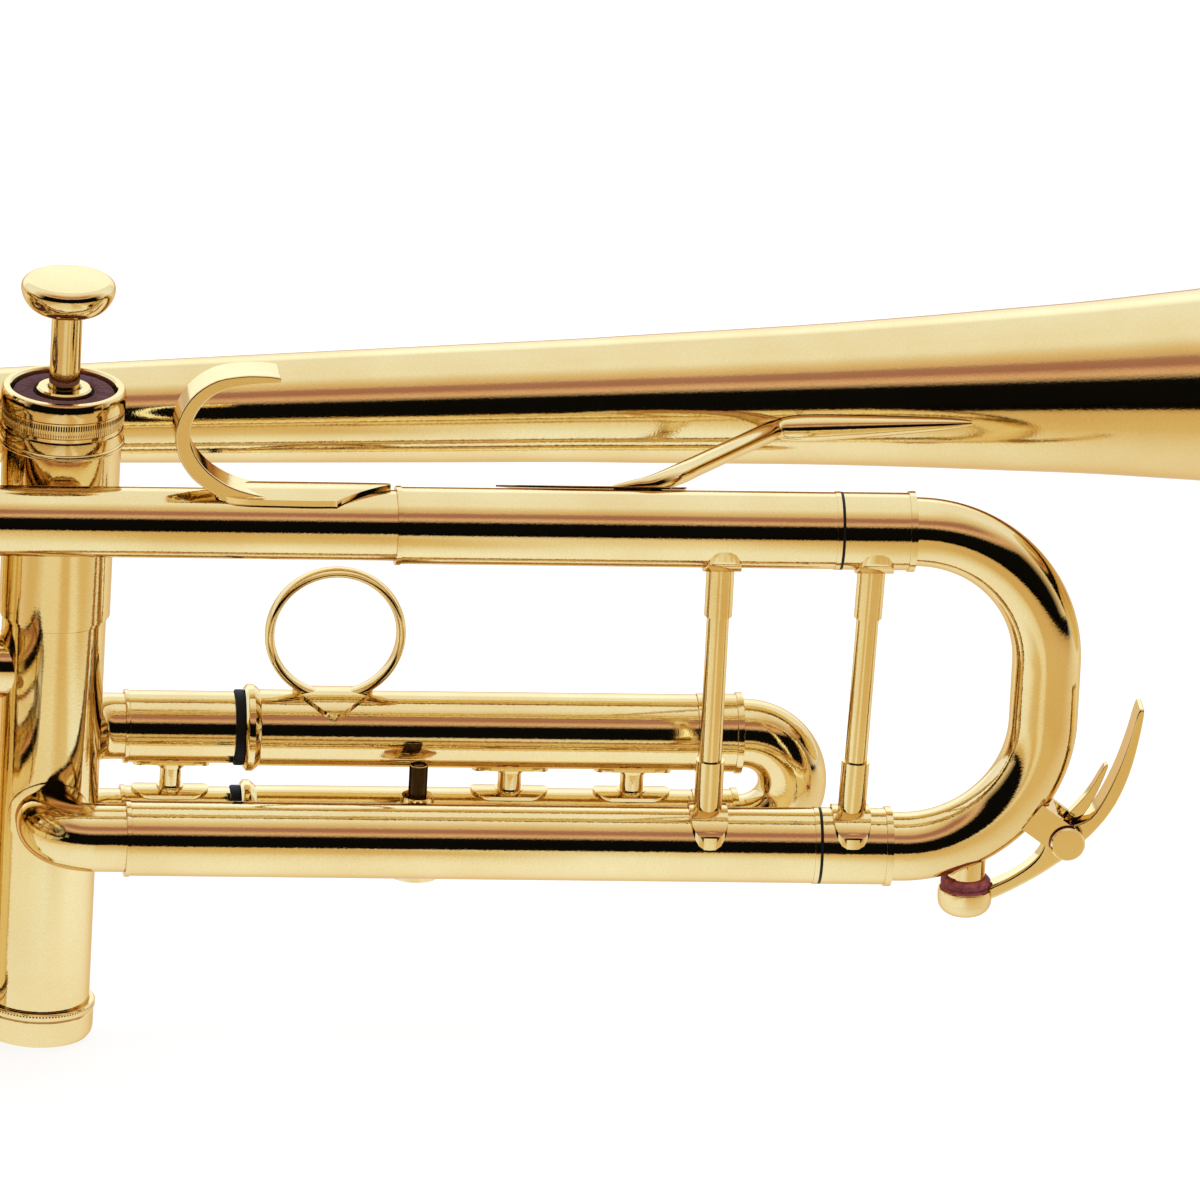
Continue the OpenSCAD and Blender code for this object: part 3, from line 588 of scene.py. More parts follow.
def ease_edges(piece: bpy.types.Object, width: float, segments: int = 2, angle: float = 45.0) -> None:
    """Rounds a piece's sharp edges with an applied bevel.

    Args:
        piece: The piece to work on.
        width: The bevel's width in metres.
        segments: Faces across the bevel.
        angle: Edges sharper than this, in degrees, are rounded.
    """
    pick(piece)
    bevel = piece.modifiers.new("eased_edges", "BEVEL")
    bevel.width = width
    bevel.segments = segments
    bevel.limit_method = "ANGLE"
    bevel.angle_limit = math.radians(angle)
    bpy.ops.object.modifier_apply(modifier=bevel.name)


def joined(name: str, pieces: Sequence[bpy.types.Object]) -> bpy.types.Object:
    """Solders pieces to one.

    Args:
        name: The name of the result.
        pieces: The pieces, of which the first takes in the rest.

    Returns:
        The joined piece.
    """
    pick(pieces[0])
    for piece in pieces[1:]:
        piece.select_set(True)
    bpy.ops.object.join()
    pieces[0].name = name
    return pieces[0]


def settle(piece: bpy.types.Object, body: str, finish: Finish, *nodes: str) -> bpy.types.Object:
    """Dresses a finished piece, puts it on its body and lets it stand for CAD nodes.

    Args:
        piece: The finished piece.
        body: The body that it moves with.
        finish: Its finish.
        *nodes: The CAD nodes that it replaces, if any.

    Returns:
        The piece.
    """
    dress(piece, finish)
    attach(piece, body)
    if nodes:
        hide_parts(*nodes)
    log.info("%s rides on %s", piece.name, body)
    return piece


def body_of(node: str) -> str:
    """Gives the name of the body that carries a CAD node."""
    return frame["nodes"][node]["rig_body"]


def polish(node: str, finish: Finish, edge: float = 0.0) -> bpy.types.Object:
    """Shows a CAD node as a merged, smoothly shaded copy with its finish.

    Args:
        node: The CAD node.
        finish: Its finish.
        edge: How wide its sharp edges are rounded, in metres, or 0 for none.

    Returns:
        The copy, which replaces the node.
    """
    copy = bpy.data.objects.new(node + "_polished", frame["nodes"][node].data.copy())
    bpy.context.scene.collection.objects.link(copy)
    edit_all(copy)
    bpy.ops.mesh.customdata_custom_splitnormals_clear()
    bpy.ops.mesh.remove_doubles(threshold=2e-6)
    bpy.ops.mesh.dissolve_limited(angle_limit=math.radians(0.05))
    bpy.ops.object.mode_set(mode="OBJECT")
    if edge > 0:
        ease_edges(copy, edge)
    smooth(copy)
    return settle(copy, body_of(node), finish, node)


def drawn(name: str, corners: Sequence[Vector]) -> bpy.types.Object:
    """Draws a closed outline: a plane merged to one vertex, which is extruded from corner to corner.

    Args:
        name: The piece's name.
        corners: The outline's corners in order.

    Returns:
        The piece, open in edit mode with all of it selected.
    """
    clear_selection()
    bpy.ops.mesh.primitive_plane_add(size=0.001, location=corners[0])
    piece = bpy.context.object
    piece.name = piece.data.name = name
    edit_all(piece)
    bpy.ops.mesh.merge(type="CENTER")
    for before, after in zip(corners, [*corners[1:], corners[0]]):
        bpy.ops.mesh.extrude_region_move(TRANSFORM_OT_translate={"value": after - before})
    bpy.ops.mesh.select_all(action="SELECT")
    bpy.ops.mesh.remove_doubles(threshold=1e-6)
    bpy.ops.mesh.select_all(action="SELECT")
    return piece


def turn(name: str, outline: Sequence[Sequence[float]], steps: int, place: Matrix) -> bpy.types.Object:
    """Turns a closed outline on a lathe, about the piece's own Z.

    Args:
        name: The piece's name.
        outline: Radius and height of each corner in millimetres, in order round the section.
        steps: Facets in a full turn.
        place: Where the turned piece goes.

    Returns:
        The piece, smoothly shaded.
    """
    piece = drawn(name, [Vector((radius, 0, height)) * MM for radius, height in outline])
    bpy.ops.mesh.spin(steps=steps, angle=FULL_TURN, center=(0, 0, 0), axis=(0, 0, 1))
    bpy.ops.object.mode_set(mode="OBJECT")
    heal(piece)
    piece.matrix_world = place @ piece.matrix_world
    apply_all(piece)
    smooth(piece)
    return piece


def plate(
    name: str, outline: Sequence[Sequence[float]], low: float, high: float, place: Matrix, edge: float = 0.0
) -> bpy.types.Object:
    """Cuts a plate: an outline in the XY plane, filled and drawn out along Z.

    Args:
        name: The piece's name.
        outline: The outline's corners in millimetres.
        low: Height of its underside in millimetres.
        high: Height of its top in millimetres.
        place: Where it goes.
        edge: How wide its edges are rounded, in millimetres.

    Returns:
        The plate, smoothly shaded.
    """
    piece = drawn(name, [Vector((x, y, low)) * MM for x, y in outline])
    bpy.ops.mesh.edge_face_add()
    bpy.ops.mesh.extrude_region_move(TRANSFORM_OT_translate={"value": (0, 0, (high - low) * MM)})
    bpy.ops.object.mode_set(mode="OBJECT")
    heal(piece)
    piece.matrix_world = place @ piece.matrix_world
    apply_all(piece)
    if edge > 0:
        ease_edges(piece, edge * MM, 3)
    smooth(piece)
    return piece


def along(points: Sequence[Sequence[float]], steps: int) -> list[tuple[float, ...]]:
    """Draws a smooth line through points, as a bent spline would lie.

    Args:
        points: The points, with as many numbers each as needed.
        steps: Pieces of the line between neighbouring points.

    Returns:
        The line's points, the given ones among them.
    """
    ends = [points[0], *points, points[-1]]
    line = []
    for a, b, c, d in zip(ends, ends[1:], ends[2:], ends[3:]):
        for step in range(steps):
            t = step / steps
            square, cube = t * t, t**3
            weights = (-t + 2 * square - cube, 2 - 5 * square + 3 * cube,
                       t + 4 * square - 3 * cube, cube - square)
            near = list(zip(weights, (a, b, c, d)))
            line.append(tuple(sum(weight * spot[i] for weight, spot in near) / 2 for i in range(len(a))))
    return [*line, tuple(points[-1])]


def rod(name: str, points: Sequence[Sequence[float]], steps: int = 6, rounding: int = 4) -> bpy.types.Object:
    """Bends a round rod along a smooth line, with closed ends.

    Args:
        name: The piece's name.
        points: X, y, z and the rod's radius at each point, in millimetres.
        steps: Pieces of the line between neighbouring points.
        rounding: Roundness of its section.

    Returns:
        The rod, smoothly shaded.
    """
    clear_selection()
    bpy.ops.curve.primitive_nurbs_path_add(location=(0, 0, 0))
    piece = bpy.context.object
    piece.name = name
    piece.data.splines.clear()
    line = along(points, steps)
    spline = piece.data.splines.new("POLY")
    spline.points.add(len(line) - 1)
    for spot, (x, y, z, radius) in zip(spline.points, line):
        spot.co = (x * MM, y * MM, z * MM, 1)
        spot.radius = radius
    piece.data.bevel_depth = MM
    piece.data.bevel_resolution = rounding
    piece.data.use_fill_caps = True
    bpy.ops.object.convert(target="MESH")
    piece = bpy.context.object
    heal(piece)
    smooth(piece, 60)
    return piece


def leaf(
    name: str,
    outline: Sequence[Sequence[float]],
    radius: float,
    thick: float,
    place: Matrix,
    edge: float = 0.15,
) -> bpy.types.Object:
    """Cuts a leaf that hugs a tube: an outline seen from above, pushed through a shell round the tube.

    Args:
        name: The piece's name.
        outline: The leaf's corners along and across the tube, in millimetres.
        radius: The tube's radius in millimetres.
        thick: The leaf's thickness in millimetres.
        place: Where it goes: X along the tube, from its axis, and Z through the middle of the leaf.
        edge: How wide its edges are rounded, in millimetres.

    Returns:
        The leaf, smoothly shaded.
    """
    ends = [min(x for x, _ in outline) - 1, max(x for x, _ in outline) + 1]
    section = [(radius, ends[0]), (radius + thick, ends[0]), (radius + thick, ends[1]), (radius, ends[1])]
    shell = turn(name, section, 160, ON_X)
    cutter = plate(name + "_cutter", outline, 0, radius + thick + 5, Matrix())
    pick(shell)
    cut = shell.modifiers.new("cut", "BOOLEAN")
    cut.operation = "INTERSECT"
    cut.solver = "EXACT"
    cut.object = cutter
    bpy.ops.object.modifier_apply(modifier=cut.name)
    bpy.data.objects.remove(cutter)
    shell.matrix_world = place
    apply_all(shell)
    edit_all(shell)
    bpy.ops.mesh.dissolve_limited(angle_limit=math.radians(0.5))
    bpy.ops.object.mode_set(mode="OBJECT")
    ease_edges(shell, edge * MM, 2, 50)
    smooth(shell, 40)
    return shell


def at(x: float, y: float, z: float) -> Matrix:
    """Gives the place at a point in millimetres."""
    return Matrix.Translation(Vector((x, y, z)) * MM)


def collar(name: str, x: float, y: float, z: float, outline: Sequence[Sequence[float]]) -> bpy.types.Object:
    """Turns a ring about a tube that lies along X.

    Args:
        name: The piece's name.
        x: Where the ring's outline starts along the tube, in millimetres.
        y: The tube's axis, sideways.
        z: The tube's axis, upwards.
        outline: Radius and distance along X of each corner in millimetres.

    Returns:
        The ring.
    """
    return turn(name, outline, 96, at(x, y, z) @ ON_X)


# ---- studio


@dataclass(frozen=True)
class Studio:
    """A white sweep of floor in a pale room, with a black flag behind the camera at eye level.

    Attributes:
        floor_half: Half the floor's side in metres.
        lamp_side: Side of the overhead lamp.
        lamp_height: Its height.
        lamp_power: Its power in watts.
        room_strength: Strength of the room's light.
        wall_strength: Strength of the wall behind the object, which flat tops mirror.
        wall_span: The share of a direction that points backwards, where that wall starts and is full.
        paper_glow: How bright the floor is to the camera by itself, besides the light that falls on it.
        floor_strength: Strength of the floor's light in the metal.
        middle: The place on the floor from which its light falls off.
    """

    floor_half: float = 6.0
    lamp_side: float = 1.6
    lamp_height: float = 2.0
    lamp_power: float = 22.0
    room_strength: float = 1.35
    wall_strength: float = 2.6
    wall_span: tuple[float, float] = (0.75, 0.92)
    paper_glow: float = 0.84
    floor_strength: float = 1.15
    middle: tuple[float, float, float] = (0.1, 0.0, 0.0)

    def build(self) -> None:
        """Makes the floor, the lamp and the room."""
        self.make_floor()
        self.make_lamp()
        self.make_room()
        bpy.context.scene.view_settings.view_transform = "Standard"

    def shades(self, tree: bpy.types.NodeTree, value: Any, stops: Sequence[tuple[float, str]]) -> Any:
        """Colours a value by a row of stops.

        Args:
            tree: The node tree.
            value: The value's socket, from 0 to 1.
            stops: Place and hex colour of each stop, in order.

        Returns:
            The colour's socket.
        """
        ramp = add(tree, "ValToRGB", {}, {"Fac": value})
        elements = ramp.color_ramp.elements
        elements[0].position, elements[0].color = stops[0][0], linear(stops[0][1])
        elements[1].position, elements[1].color = stops[-1][0], linear(stops[-1][1])
        for position, code in stops[1:-1]:
            elements.new(position).color = linear(code)
        return ramp.outputs["Color"]

    def mixed(self, tree: bpy.types.NodeTree, share: Any, low: Any, high: Any, way: str = "MIX") -> Any:
        """Mixes two colour sockets by a share, in a blending way, and returns the mixed one."""
        mix = add(tree, "Mix", {".data_type": "RGBA", ".blend_type": way}, {})
        tree.links.new(share, mix.inputs[0])
        tree.links.new(low, mix.inputs[6])
        tree.links.new(high, mix.inputs[7])
        return mix.outputs[2]

    def make_floor(self) -> None:
        """Makes the floor: white to the camera, with a soft shadow. To glossy rays alone it glows with a
        painted reflection: pale near the object and behind it, tan further off in front and black beyond 0.74
        m, with two bright bands along X that paint highlights on the upright tubes.
        """
        clear_selection()
        bpy.ops.mesh.primitive_plane_add(size=2 * self.floor_half, location=(0, 0, CAD_BOX[0].z - 0.0002))
        floor = bpy.context.object
        floor.name = "studio_floor"
        material, tree = new_tree("white_sweep")
        place = add(tree, "TexCoord", {}, {}).outputs["Object"]
        distance = add(tree, "VectorMath", {".operation": "DISTANCE", 1: self.middle}, {0: place})
        away = distance.outputs["Value"]
        part = add(tree, "SeparateXYZ", {}, {"Vector": place})
        # Painted reflection, seen only in the metal: the floor's glow by distance, pale, then tan, then
        # black, which paints the dark bands along the tubes.
        near = self.shades(tree, away, [
            (0.06, "#F8FCFE"), (0.11, "#F0F7F9"), (0.17, "#EBE7D4"), (0.25, "#E6DCC0"), (0.4, "#E2D8C2"),
            (0.62, "#CDBB99"), (0.74, "#0A0A0A")])
        behind = self.shades(tree, away, [
            (0.1, "#F2F4F4"), (0.3, "#F0F0E8"), (0.9, "#E4E6E8"), (1.0, "#DADCE0")])
        # Painted highlights: two bright bands along X in the floor's glow, which put a bright line down the
        # upright tubes with tan at their sides.
        painted_highlight_stripes = self.shades(tree, ranged(tree, part.outputs["X"], 0.0, 1.0, (-0.3, 0.5)), [
            (0.0, "#EBD4A8"), (0.18, "#EBD4A8"), (0.26, "#FFFFFF"), (0.4, "#FFFFFF"), (0.45, "#EBD4A8"),
            (0.51, "#EBD4A8"), (0.54, "#FFFFFF"), (0.58, "#FFFFFF"), (0.62, "#EBD4A8"), (1.0, "#EBD4A8")])
        banded = self.mixed(tree, ranged(tree, away, 0.0, 0.9, (0.05, 0.14)), near, painted_highlight_stripes, "MULTIPLY")
        sheen = self.mixed(tree, ranged(tree, part.outputs["Y"], 0.0, 1.0, (-0.12, 0.1)), banded, behind)
        path = add(tree, "LightPath", {}, {})
        paper = add(tree, "BsdfDiffuse", {"Color": linear("#8A8A8A")}, {})
        white = add(tree, "Emission", {"Color": linear("#FFFFFF")}, {})
        seen = ranged(tree, path.outputs["Is Camera Ray"], 0.0, self.paper_glow, (0.0, 1.0))
        tree.links.new(seen, white.inputs["Strength"])
        lit = add(tree, "AddShader", {}, {0: paper.outputs[0], 1: white.outputs[0]})
        mirrored = add(tree, "Emission", {"Strength": self.floor_strength}, {"Color": sheen})
        whole = add(tree, "MixShader", {},
                    {0: path.outputs["Is Glossy Ray"], 1: lit.outputs[0], 2: mirrored.outputs[0]})
        add(tree, "OutputMaterial", {}, {"Surface": whole.outputs[0]})
        floor.data.materials.append(material)

    def make_lamp(self) -> None:
        """Makes the soft overhead lamp, which the metal doesn't mirror."""
        data = bpy.data.lights.new("overhead_softbox", "AREA")
        data.size = self.lamp_side
        data.energy = self.lamp_power
        lamp = bpy.data.objects.new("overhead_softbox", data)
        lamp.location = (0.05, -0.35, self.lamp_height)
        lamp.rotation_euler = Vector((0, 0.17, 1)).to_track_quat("Z", "Y").to_euler()
        lamp.visible_glossy = False
        bpy.context.scene.collection.objects.link(lamp)

    def make_room(self) -> None:
        """Makes the room: cream behind the object, tan at its sides, with a black flag by the camera."""
        world = bpy.data.worlds.new("studio_room")
        bpy.context.scene.world = world
        world.use_nodes = True
        tree = world.node_tree
        tree.nodes.clear()
        way = add(tree, "SeparateXYZ", {}, {"Vector": add(tree, "TexCoord", {}, {}).outputs["Generated"]})
        height = way.outputs["Z"]
        front = self.shades(tree, height, [
            (0.0, "#0A0A0A"), (0.48, "#0A0A0A"), (0.53, "#8E7966"), (0.6, "#CAA990"), (0.66, "#C29C86"),
            (0.73, "#986D64"), (0.82, "#9C746A"), (0.86, "#C2A88B"), (0.914, "#CEB997"), (0.97, "#D1C9B3"),
            (1.0, "#E0E3E4")])
        sides = self.shades(tree, height, [
            (0.0, "#C9BA98"), (0.5, "#BFA584"), (0.9, "#D1C4A8"), (1.0, "#E0E3E4")])
        back = self.shades(tree, height, [(0.0, "#E2EBFE"), (0.55, "#E2EBF8"), (1.0, "#E0E3E4")])
        depth = way.outputs["Y"]
        pale = self.mixed(tree, ranged(tree, depth, 0.0, 1.0, (-0.15, 0.25)), sides, back)
        wall = add(tree, "RGB", {}, {}).outputs[0]
        wall.default_value = linear("#C2D6F6")
        far = self.mixed(tree, ranged(tree, depth, 0.0, 1.0, self.wall_span), pale, wall)
        whole = self.mixed(tree, ranged(tree, depth, 1.0, 0.0, (-0.4, -0.12)), far, front)
        strength = ranged(tree, depth, self.room_strength, self.wall_strength, self.wall_span)
        room = add(tree, "Background", {}, {"Color": whole, "Strength": strength})
        plain = add(tree, "Background", {"Color": linear("#FFFFFF"), "Strength": 1.0}, {})
        seen = add(tree, "LightPath", {}, {}).outputs["Is Camera Ray"]
        both = add(tree, "MixShader", {}, {0: seen, 1: room.outputs[0], 2: plain.outputs[0]})
        add(tree, "OutputWorld", {}, {"Surface": both.outputs[0]})


# ---- sub-assemblies


def ribs(
    name: str, centre: Vector, radius: float, low: float, high: float, count: int, rib: float
) -> bpy.types.Object:
    """Rolls a knurl: fine upright ribs round a band, modelled once and spun in copies.

    Args:
        name: The piece's name.
        centre: A point on the band's upright axis.
        radius: The band's radius.
        low: Height of its lower edge.
        high: Height of its upper edge.
        count: Number of ribs.
        rib: How far a rib stands out.

    Returns:
        The ribs, joined in one piece.
    """
    clear_selection()
    bpy.ops.mesh.primitive_cube_add(size=1, location=(centre.x + radius, centre.y, (low + high) / 2))
    piece = bpy.context.object
    piece.name = name
    piece.scale = (rib * 2, FULL_TURN * radius / count * 0.62, high - low)
    apply_all(piece)
    ease_edges(piece, rib * 0.7, segments=1, angle=80)
    edit_all(piece)
    bpy.ops.mesh.spin(steps=count, dupli=True, angle=FULL_TURN, center=centre, axis=(0, 0, 1))
    bpy.ops.mesh.select_all(action="SELECT")
    bpy.ops.mesh.remove_doubles(threshold=1e-6)
    bpy.ops.object.mode_set(mode="OBJECT")
    smooth(piece, 50)
    return piece


@dataclass
class ValveCluster:
    """Three valves: casings, caps, pistons, springs, stems, buttons and felts.

    Attributes:
        cap_ribs: Ribs round a top cap's knurled band.
        bead_ribs: Ticks round a bottom cap's bead.
        rib: How far a rib stands out, in metres.
        button: Radius and height of a finger button's outline, in millimetres.
        felt: Radius and depth below the cap's rim of a felt ring's outline, in millimetres.
        pad: The same of the felt pad under the cap's roof.
        washer: The same of the washer round the stem.
        shade_ring: The same of the black ring under the felt ring, a painted shade that darkens the gaps
            round the felt.
        band_inset: How far a top cap's knurled band lies inside its widest place, in metres.
        ticks_below: How far a bottom cap's ticks start below its top, in metres.
        tick: Their height, in metres.
    """

    cap_ribs: int = 150
    bead_ribs: int = 110
    rib: float = 0.00005
    button: tuple[tuple[float, float], ...] = (
        (0, 0), (4.8, 0), (5.9, 0.25), (6.9, 0.95), (7.7, 2), (8.22, 3.1), (8.44, 4.2), (8.32, 4.95),
        (7.98, 5.5), (7.5, 5.88), (7.1, 5.98), (6.5, 5.95), (4.5, 5.85), (2.5, 5.78), (0, 5.76))
    felt: tuple[tuple[float, float], ...] = (
        (5.5, -3.0), (8.9, -3.0), (8.95, -1.3), (8.75, -0.95), (8.4, -0.8), (6.0, -0.8), (5.65, -0.95),
        (5.5, -1.3))
    pad: tuple[tuple[float, float], ...] = ((3.3, -6.8), (7.5, -6.8), (7.5, -5.1), (3.3, -5.1))
    washer: tuple[tuple[float, float], ...] = ((2.9, -0.6), (3.8, -0.6), (3.8, -0.3), (2.9, -0.2))
    shade_ring: tuple[tuple[float, float], ...] = ((4.95, -3.05), (9.3, -3.05), (9.3, -1.6), (4.95, -1.6))
    band_inset: float = 0.0003
    ticks_below: float = 0.00035
    tick: float = 0.0009

    def centres(self) -> list[Vector]:
        """Finds the axes of valves 1 to 3 from their casings."""
        found = []
        for number in (1, 2, 3):
            low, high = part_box(f"valve_casing_{number}")
            found.append(Vector(((low.x + high.x) / 2, 0, 0)))
        return found

    def build(self) -> None:
        """Polishes the metal, and makes the buttons, knurls and felts."""
        for number, centre in enumerate(self.centres(), 1):
            polish(f"valve_casing_{number}", GOLD_LACQUER)
            polish(f"piston_{number}", NICKEL)
            polish(f"spring_{number}", SPRING)
            polish(f"stem_{number}", GOLD_LACQUER, 0.0002)
            node = f"button_{number}"
            foot = Vector((centre.x, centre.y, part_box(node)[0].z))
            button = turn(node + "_turned", along(self.button, 4), 128, Matrix.Translation(foot))
            settle(button, body_of(node), GOLD_LACQUER, node)
        polish("interport_tubes", GOLD_LACQUER)
        polish("valve_guides", ACETAL, 0.0002)
        caps = polish("top_caps", GOLD_LACQUER, 0.0001)
        polish("bottom_caps", GOLD_LACQUER, 0.0001)
        self.make_knurls(caps)
        self.make_felts()

    def make_knurls(self, caps: bpy.types.Object) -> None:
        """Rolls the knurled bands of the caps.

        Args:
            caps: The finished top caps, on which the photograph shows the band's height.
        """
        top = meet(POINTS["cap_knurl_top"], caps).z
        bottom = meet(POINTS["cap_knurl_bottom"], caps).z
        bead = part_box("bottom_caps")[1]
        bead_top = bead.z - self.ticks_below
        cap_low, cap_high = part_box("top_caps")
        band = (cap_high.y - cap_low.y) / 2 - self.band_inset
        for number, centre in enumerate(self.centres(), 1):
            knurl = ribs(f"cap_knurl_{number}", centre, band, bottom, top, self.cap_ribs, self.rib)
            settle(knurl, "trumpet_body", GOLD_LACQUER)
            ticks = ribs(f"bottom_ticks_{number}", centre, bead.y, bead_top - self.tick, bead_top,
                         self.bead_ribs, self.rib)
            settle(ticks, "trumpet_body", GOLD_LACQUER)

    def make_felts(self) -> None:
        """Makes the pressed felt rings: one in each cap, one under its roof and a washer round the stem, and
        under each cap's felt a black ring of painted shade.
        """
        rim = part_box("top_caps")[1].z / MM
        first = None
        for number, centre in enumerate(self.centres(), 1):
            x = centre.x / MM
            ring = self.cut_felt(f"valve_felt_ring_{number}", self.felt, x, rim)
            pad = self.cut_felt(f"valve_felt_pad_{number}", self.pad, x, rim)
            washer = self.cut_felt(f"stem_washer_{number}", self.washer, x, rim)
            settle(ring, "trumpet_body", FELT)
            settle(pad, "trumpet_body", FELT)
            settle(washer, "trumpet_body", BLACK_FELT_AND_SHADE)
            # A black ring under the felt ring: painted shade, which darkens the gaps round the felt where the
            # cap's hollow lies in shadow.
            shade_ring = turn(f"painted_shade_ring_{number}", self.shade_ring, 96, at(x, 0, rim))
            settle(shade_ring, "trumpet_body", BLACK_FELT_AND_SHADE)
            first = first or ring
        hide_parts("valve_felts")

    def cut_felt(
        self, name: str, outline: Sequence[tuple[float, float]], x: float, rim: float
    ) -> bpy.types.Object:
        """Cuts a felt ring and roughens its surface.

        Args:
            name: The ring's name.
            outline: Radius and height over the rim of its section's corners, in millimetres.
            x: Its axis along the trumpet in millimetres.
            rim: Height of the cap's rim in millimetres.

        Returns:
            The ring.
        """
        ring = turn(name, outline, 96, at(x, 0, rim))
        edit_all(ring)
        bpy.ops.mesh.subdivide(number_cuts=2)
        bpy.ops.transform.vertex_random(offset=0.00006, uniform=0.3, normal=0.7, seed=7)
        bpy.ops.object.mode_set(mode="OBJECT")
        smooth(ring, 60)
        return ring


@dataclass
class LeadpipeLine:
    """The leadpipe, its mouthpiece receiver and the mouthpiece.

    Attributes:
        edge: How wide turned edges are rounded, in metres.
    """

    edge: float = 0.00015

    def build(self) -> None:
        """Polishes the pipe, the receiver and the mouthpiece."""
        polish("leadpipe", GOLD_LACQUER)
        polish("receiver", GOLD_LACQUER, self.edge)
        polish("mouthpiece", SILVER)


@dataclass
class MainSlide:
    """The main tuning slide: sleeves, legs, ferrules, crook and braces.

    Attributes:
        edge: How wide turned edges are rounded, in metres.
        joint: Width of the gap between a sleeve and its ferrule, in millimetres.
        axis_y: The slide's plane, sideways, in millimetres.
        upper: Height of the upper tube's axis, and a saddle's inner radius and thickness on it, in
            millimetres.
        lower: The same, for the lower tube.
        feet: Where each brace stands on the upper and on the lower tube, in millimetres.
        saddle: Half the length and half the width of a brace's saddle, in millimetres.
    """

    edge: float = 0.00012
    joint: float = 0.46
    axis_y: float = -17.3
    upper: tuple[float, float, float] = (103.8, 6.8, 0.75)
    lower: tuple[float, float, float] = (43.8, 6.7, 0.8)
    feet: tuple[tuple[str, float, float], ...] = (
        ("main_sleeve_brace", 139.5, 139.5), ("main_crook_brace", 166.7, 165.1))
    saddle: tuple[float, float] = (3.3, 6.6)

    def build(self) -> None:
        """Polishes the slide's tubes and braces, and lays the grease in its joints."""
        for node in ("main_upper_sleeve", "main_lower_sleeve", "main_ferrules"):
            polish(node, GOLD_LACQUER, self.edge)
        for node in ("main_elbow", "main_crook"):
            polish(node, GOLD_LACQUER)
        for node in ("main_sleeve_brace", "main_crook_brace"):
            polish(node, GOLD_LACQUER, self.edge)
        self.make_saddles()
        polish("main_inner_legs", NICKEL)
        for node, inner in (("main_upper_sleeve", 6.36), ("main_lower_sleeve", 6.3)):
            low, high = (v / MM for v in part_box(node))
            outer = (high.z - low.z) / 2 - 0.12
            ring = collar(node + "_joint", high.x + 0.02, self.axis_y, (high.z + low.z) / 2,
                          [(inner, 0), (outer, 0), (outer, self.joint), (inner, self.joint)])
            settle(ring, "main_slide", GREASE)

    def make_saddles(self) -> None:
        """Cuts the round-cornered saddles on which the two braces stand."""
        long, wide = self.saddle
        corner = [(1, 0), (1, 0.5), (0.93, 0.8), (0.6, 0.97), (0, 1)]
        quarters = [*corner, *((-x, y) for x, y in corner[-2::-1]), *((-x, -y) for x, y in corner[1:]),
                    *((x, -y) for x, y in corner[-2::-1])]
        outline = along([(long * x, wide * y) for x, y in quarters], 2)[:-1]
        for node, top_x, foot_x in self.feet:
            hung = at(top_x, self.axis_y, self.upper[0]) @ Matrix.Rotation(math.pi, 4, "X")
            top = leaf(node + "_saddles", outline, *self.upper[1:], hung, 0.2)
            stood = at(foot_x, self.axis_y, self.lower[0])
            foot = leaf(node + "_foot", outline, *self.lower[1:], stood, 0.2)
            settle(joined(top.name, [top, foot]), body_of(node), GOLD_LACQUER)


@dataclass
class ThirdSlide:
    """The third valve slide, with its finger ring and lyre holder.

    Attributes:
        edge: How wide turned edges are rounded, in metres.
        ring_half: Half the width of the finger ring's band, in millimetres.
        ring_thick: Its thickness, in millimetres.
    """

    edge: float = 0.00015
    ring_half: float = 1.8
    ring_thick: float = 1.75

    def build(self) -> None:
        """Polishes the slide's pieces and makes the finger ring."""
        polish("third_knuckles", GOLD_LACQUER)
        for node in ("third_fixed_sleeves", "third_moving_sleeves", "third_ferrules", "third_fixed_brace",
                     "third_slide_braces", "lyre_holder"):
            polish(node, GOLD_LACQUER, self.edge)
        polish("third_crook", GOLD_LACQUER)
        polish("third_inner_legs", NICKEL)
        polish("third_bumpers", RUBBER, 0.0003)
        polish("lyre_screw", GOLD_LACQUER, self.edge)
        low, high = (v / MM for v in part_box("lyre_screw"))
        sleeve = turn("lyre_screw_sleeve", [(1.0, 0), (1.66, 0), (1.66, 5.6), (1.4, 5.78), (1.0, 5.78)], 48,
                      at((low.x + high.x) / 2, (low.y + high.y) / 2, high.z - 5.78))
        settle(sleeve, "lyre_clamp", BLACKENED)
        self.make_ring()

    def make_ring(self) -> None:
        """Bends the finger ring from half-round wire and seats it on its saddle."""
        low, high = (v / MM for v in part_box("finger_ring"))
        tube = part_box("third_moving_sleeves")[1].z / MM - 0.97
        across = (high.x - low.x) / 2
        middle = (low.y + high.y) / 2
        section = [(across - self.ring_thick * (0.5 - 0.5 * math.cos(a)), self.ring_half * math.sin(a))
                   for a in (i * FULL_TURN / 20 for i in range(20))]
        stand = at((low.x + high.x) / 2, middle, high.z - across) @ Matrix.Rotation(math.pi / 2, 4, "X")
        ring = turn("finger_ring_turned", section, 128, stand)
        axis = tube - 6.83
        outline = along([(-7.2, 0), (-4.6, -3.4), (0, -5.9), (4.6, -3.4), (7.2, 0), (4.6, 3.4), (0, 5.9),
                         (-4.6, 3.4), (-7.2, 0)], 5)[:-1]
        saddle = leaf("finger_ring_saddle", outline, 6.84, 0.75, at((low.x + high.x) / 2, middle, axis), 0.25)
        settle(ring, "third_slide", GOLD_LACQUER, "finger_ring")
        settle(saddle, "third_slide", GOLD_LACQUER)


@dataclass
class ShortSlides:
    """The first and second valve slides.

    Attributes:
        edge: How wide turned edges are rounded, in metres.
    """

    edge: float = 0.00012

    def build(self) -> None:
        """Polishes both slides."""
        for name in ("first", "second"):
            polish(f"{name}_fixed_sleeves", GOLD_LACQUER, self.edge)
            polish(f"{name}_slide_tube", NICKEL)
            polish(f"{name}_ferrules", GOLD_LACQUER, self.edge)
        polish("first_thumb_saddle", GOLD_LACQUER, 0.0003)


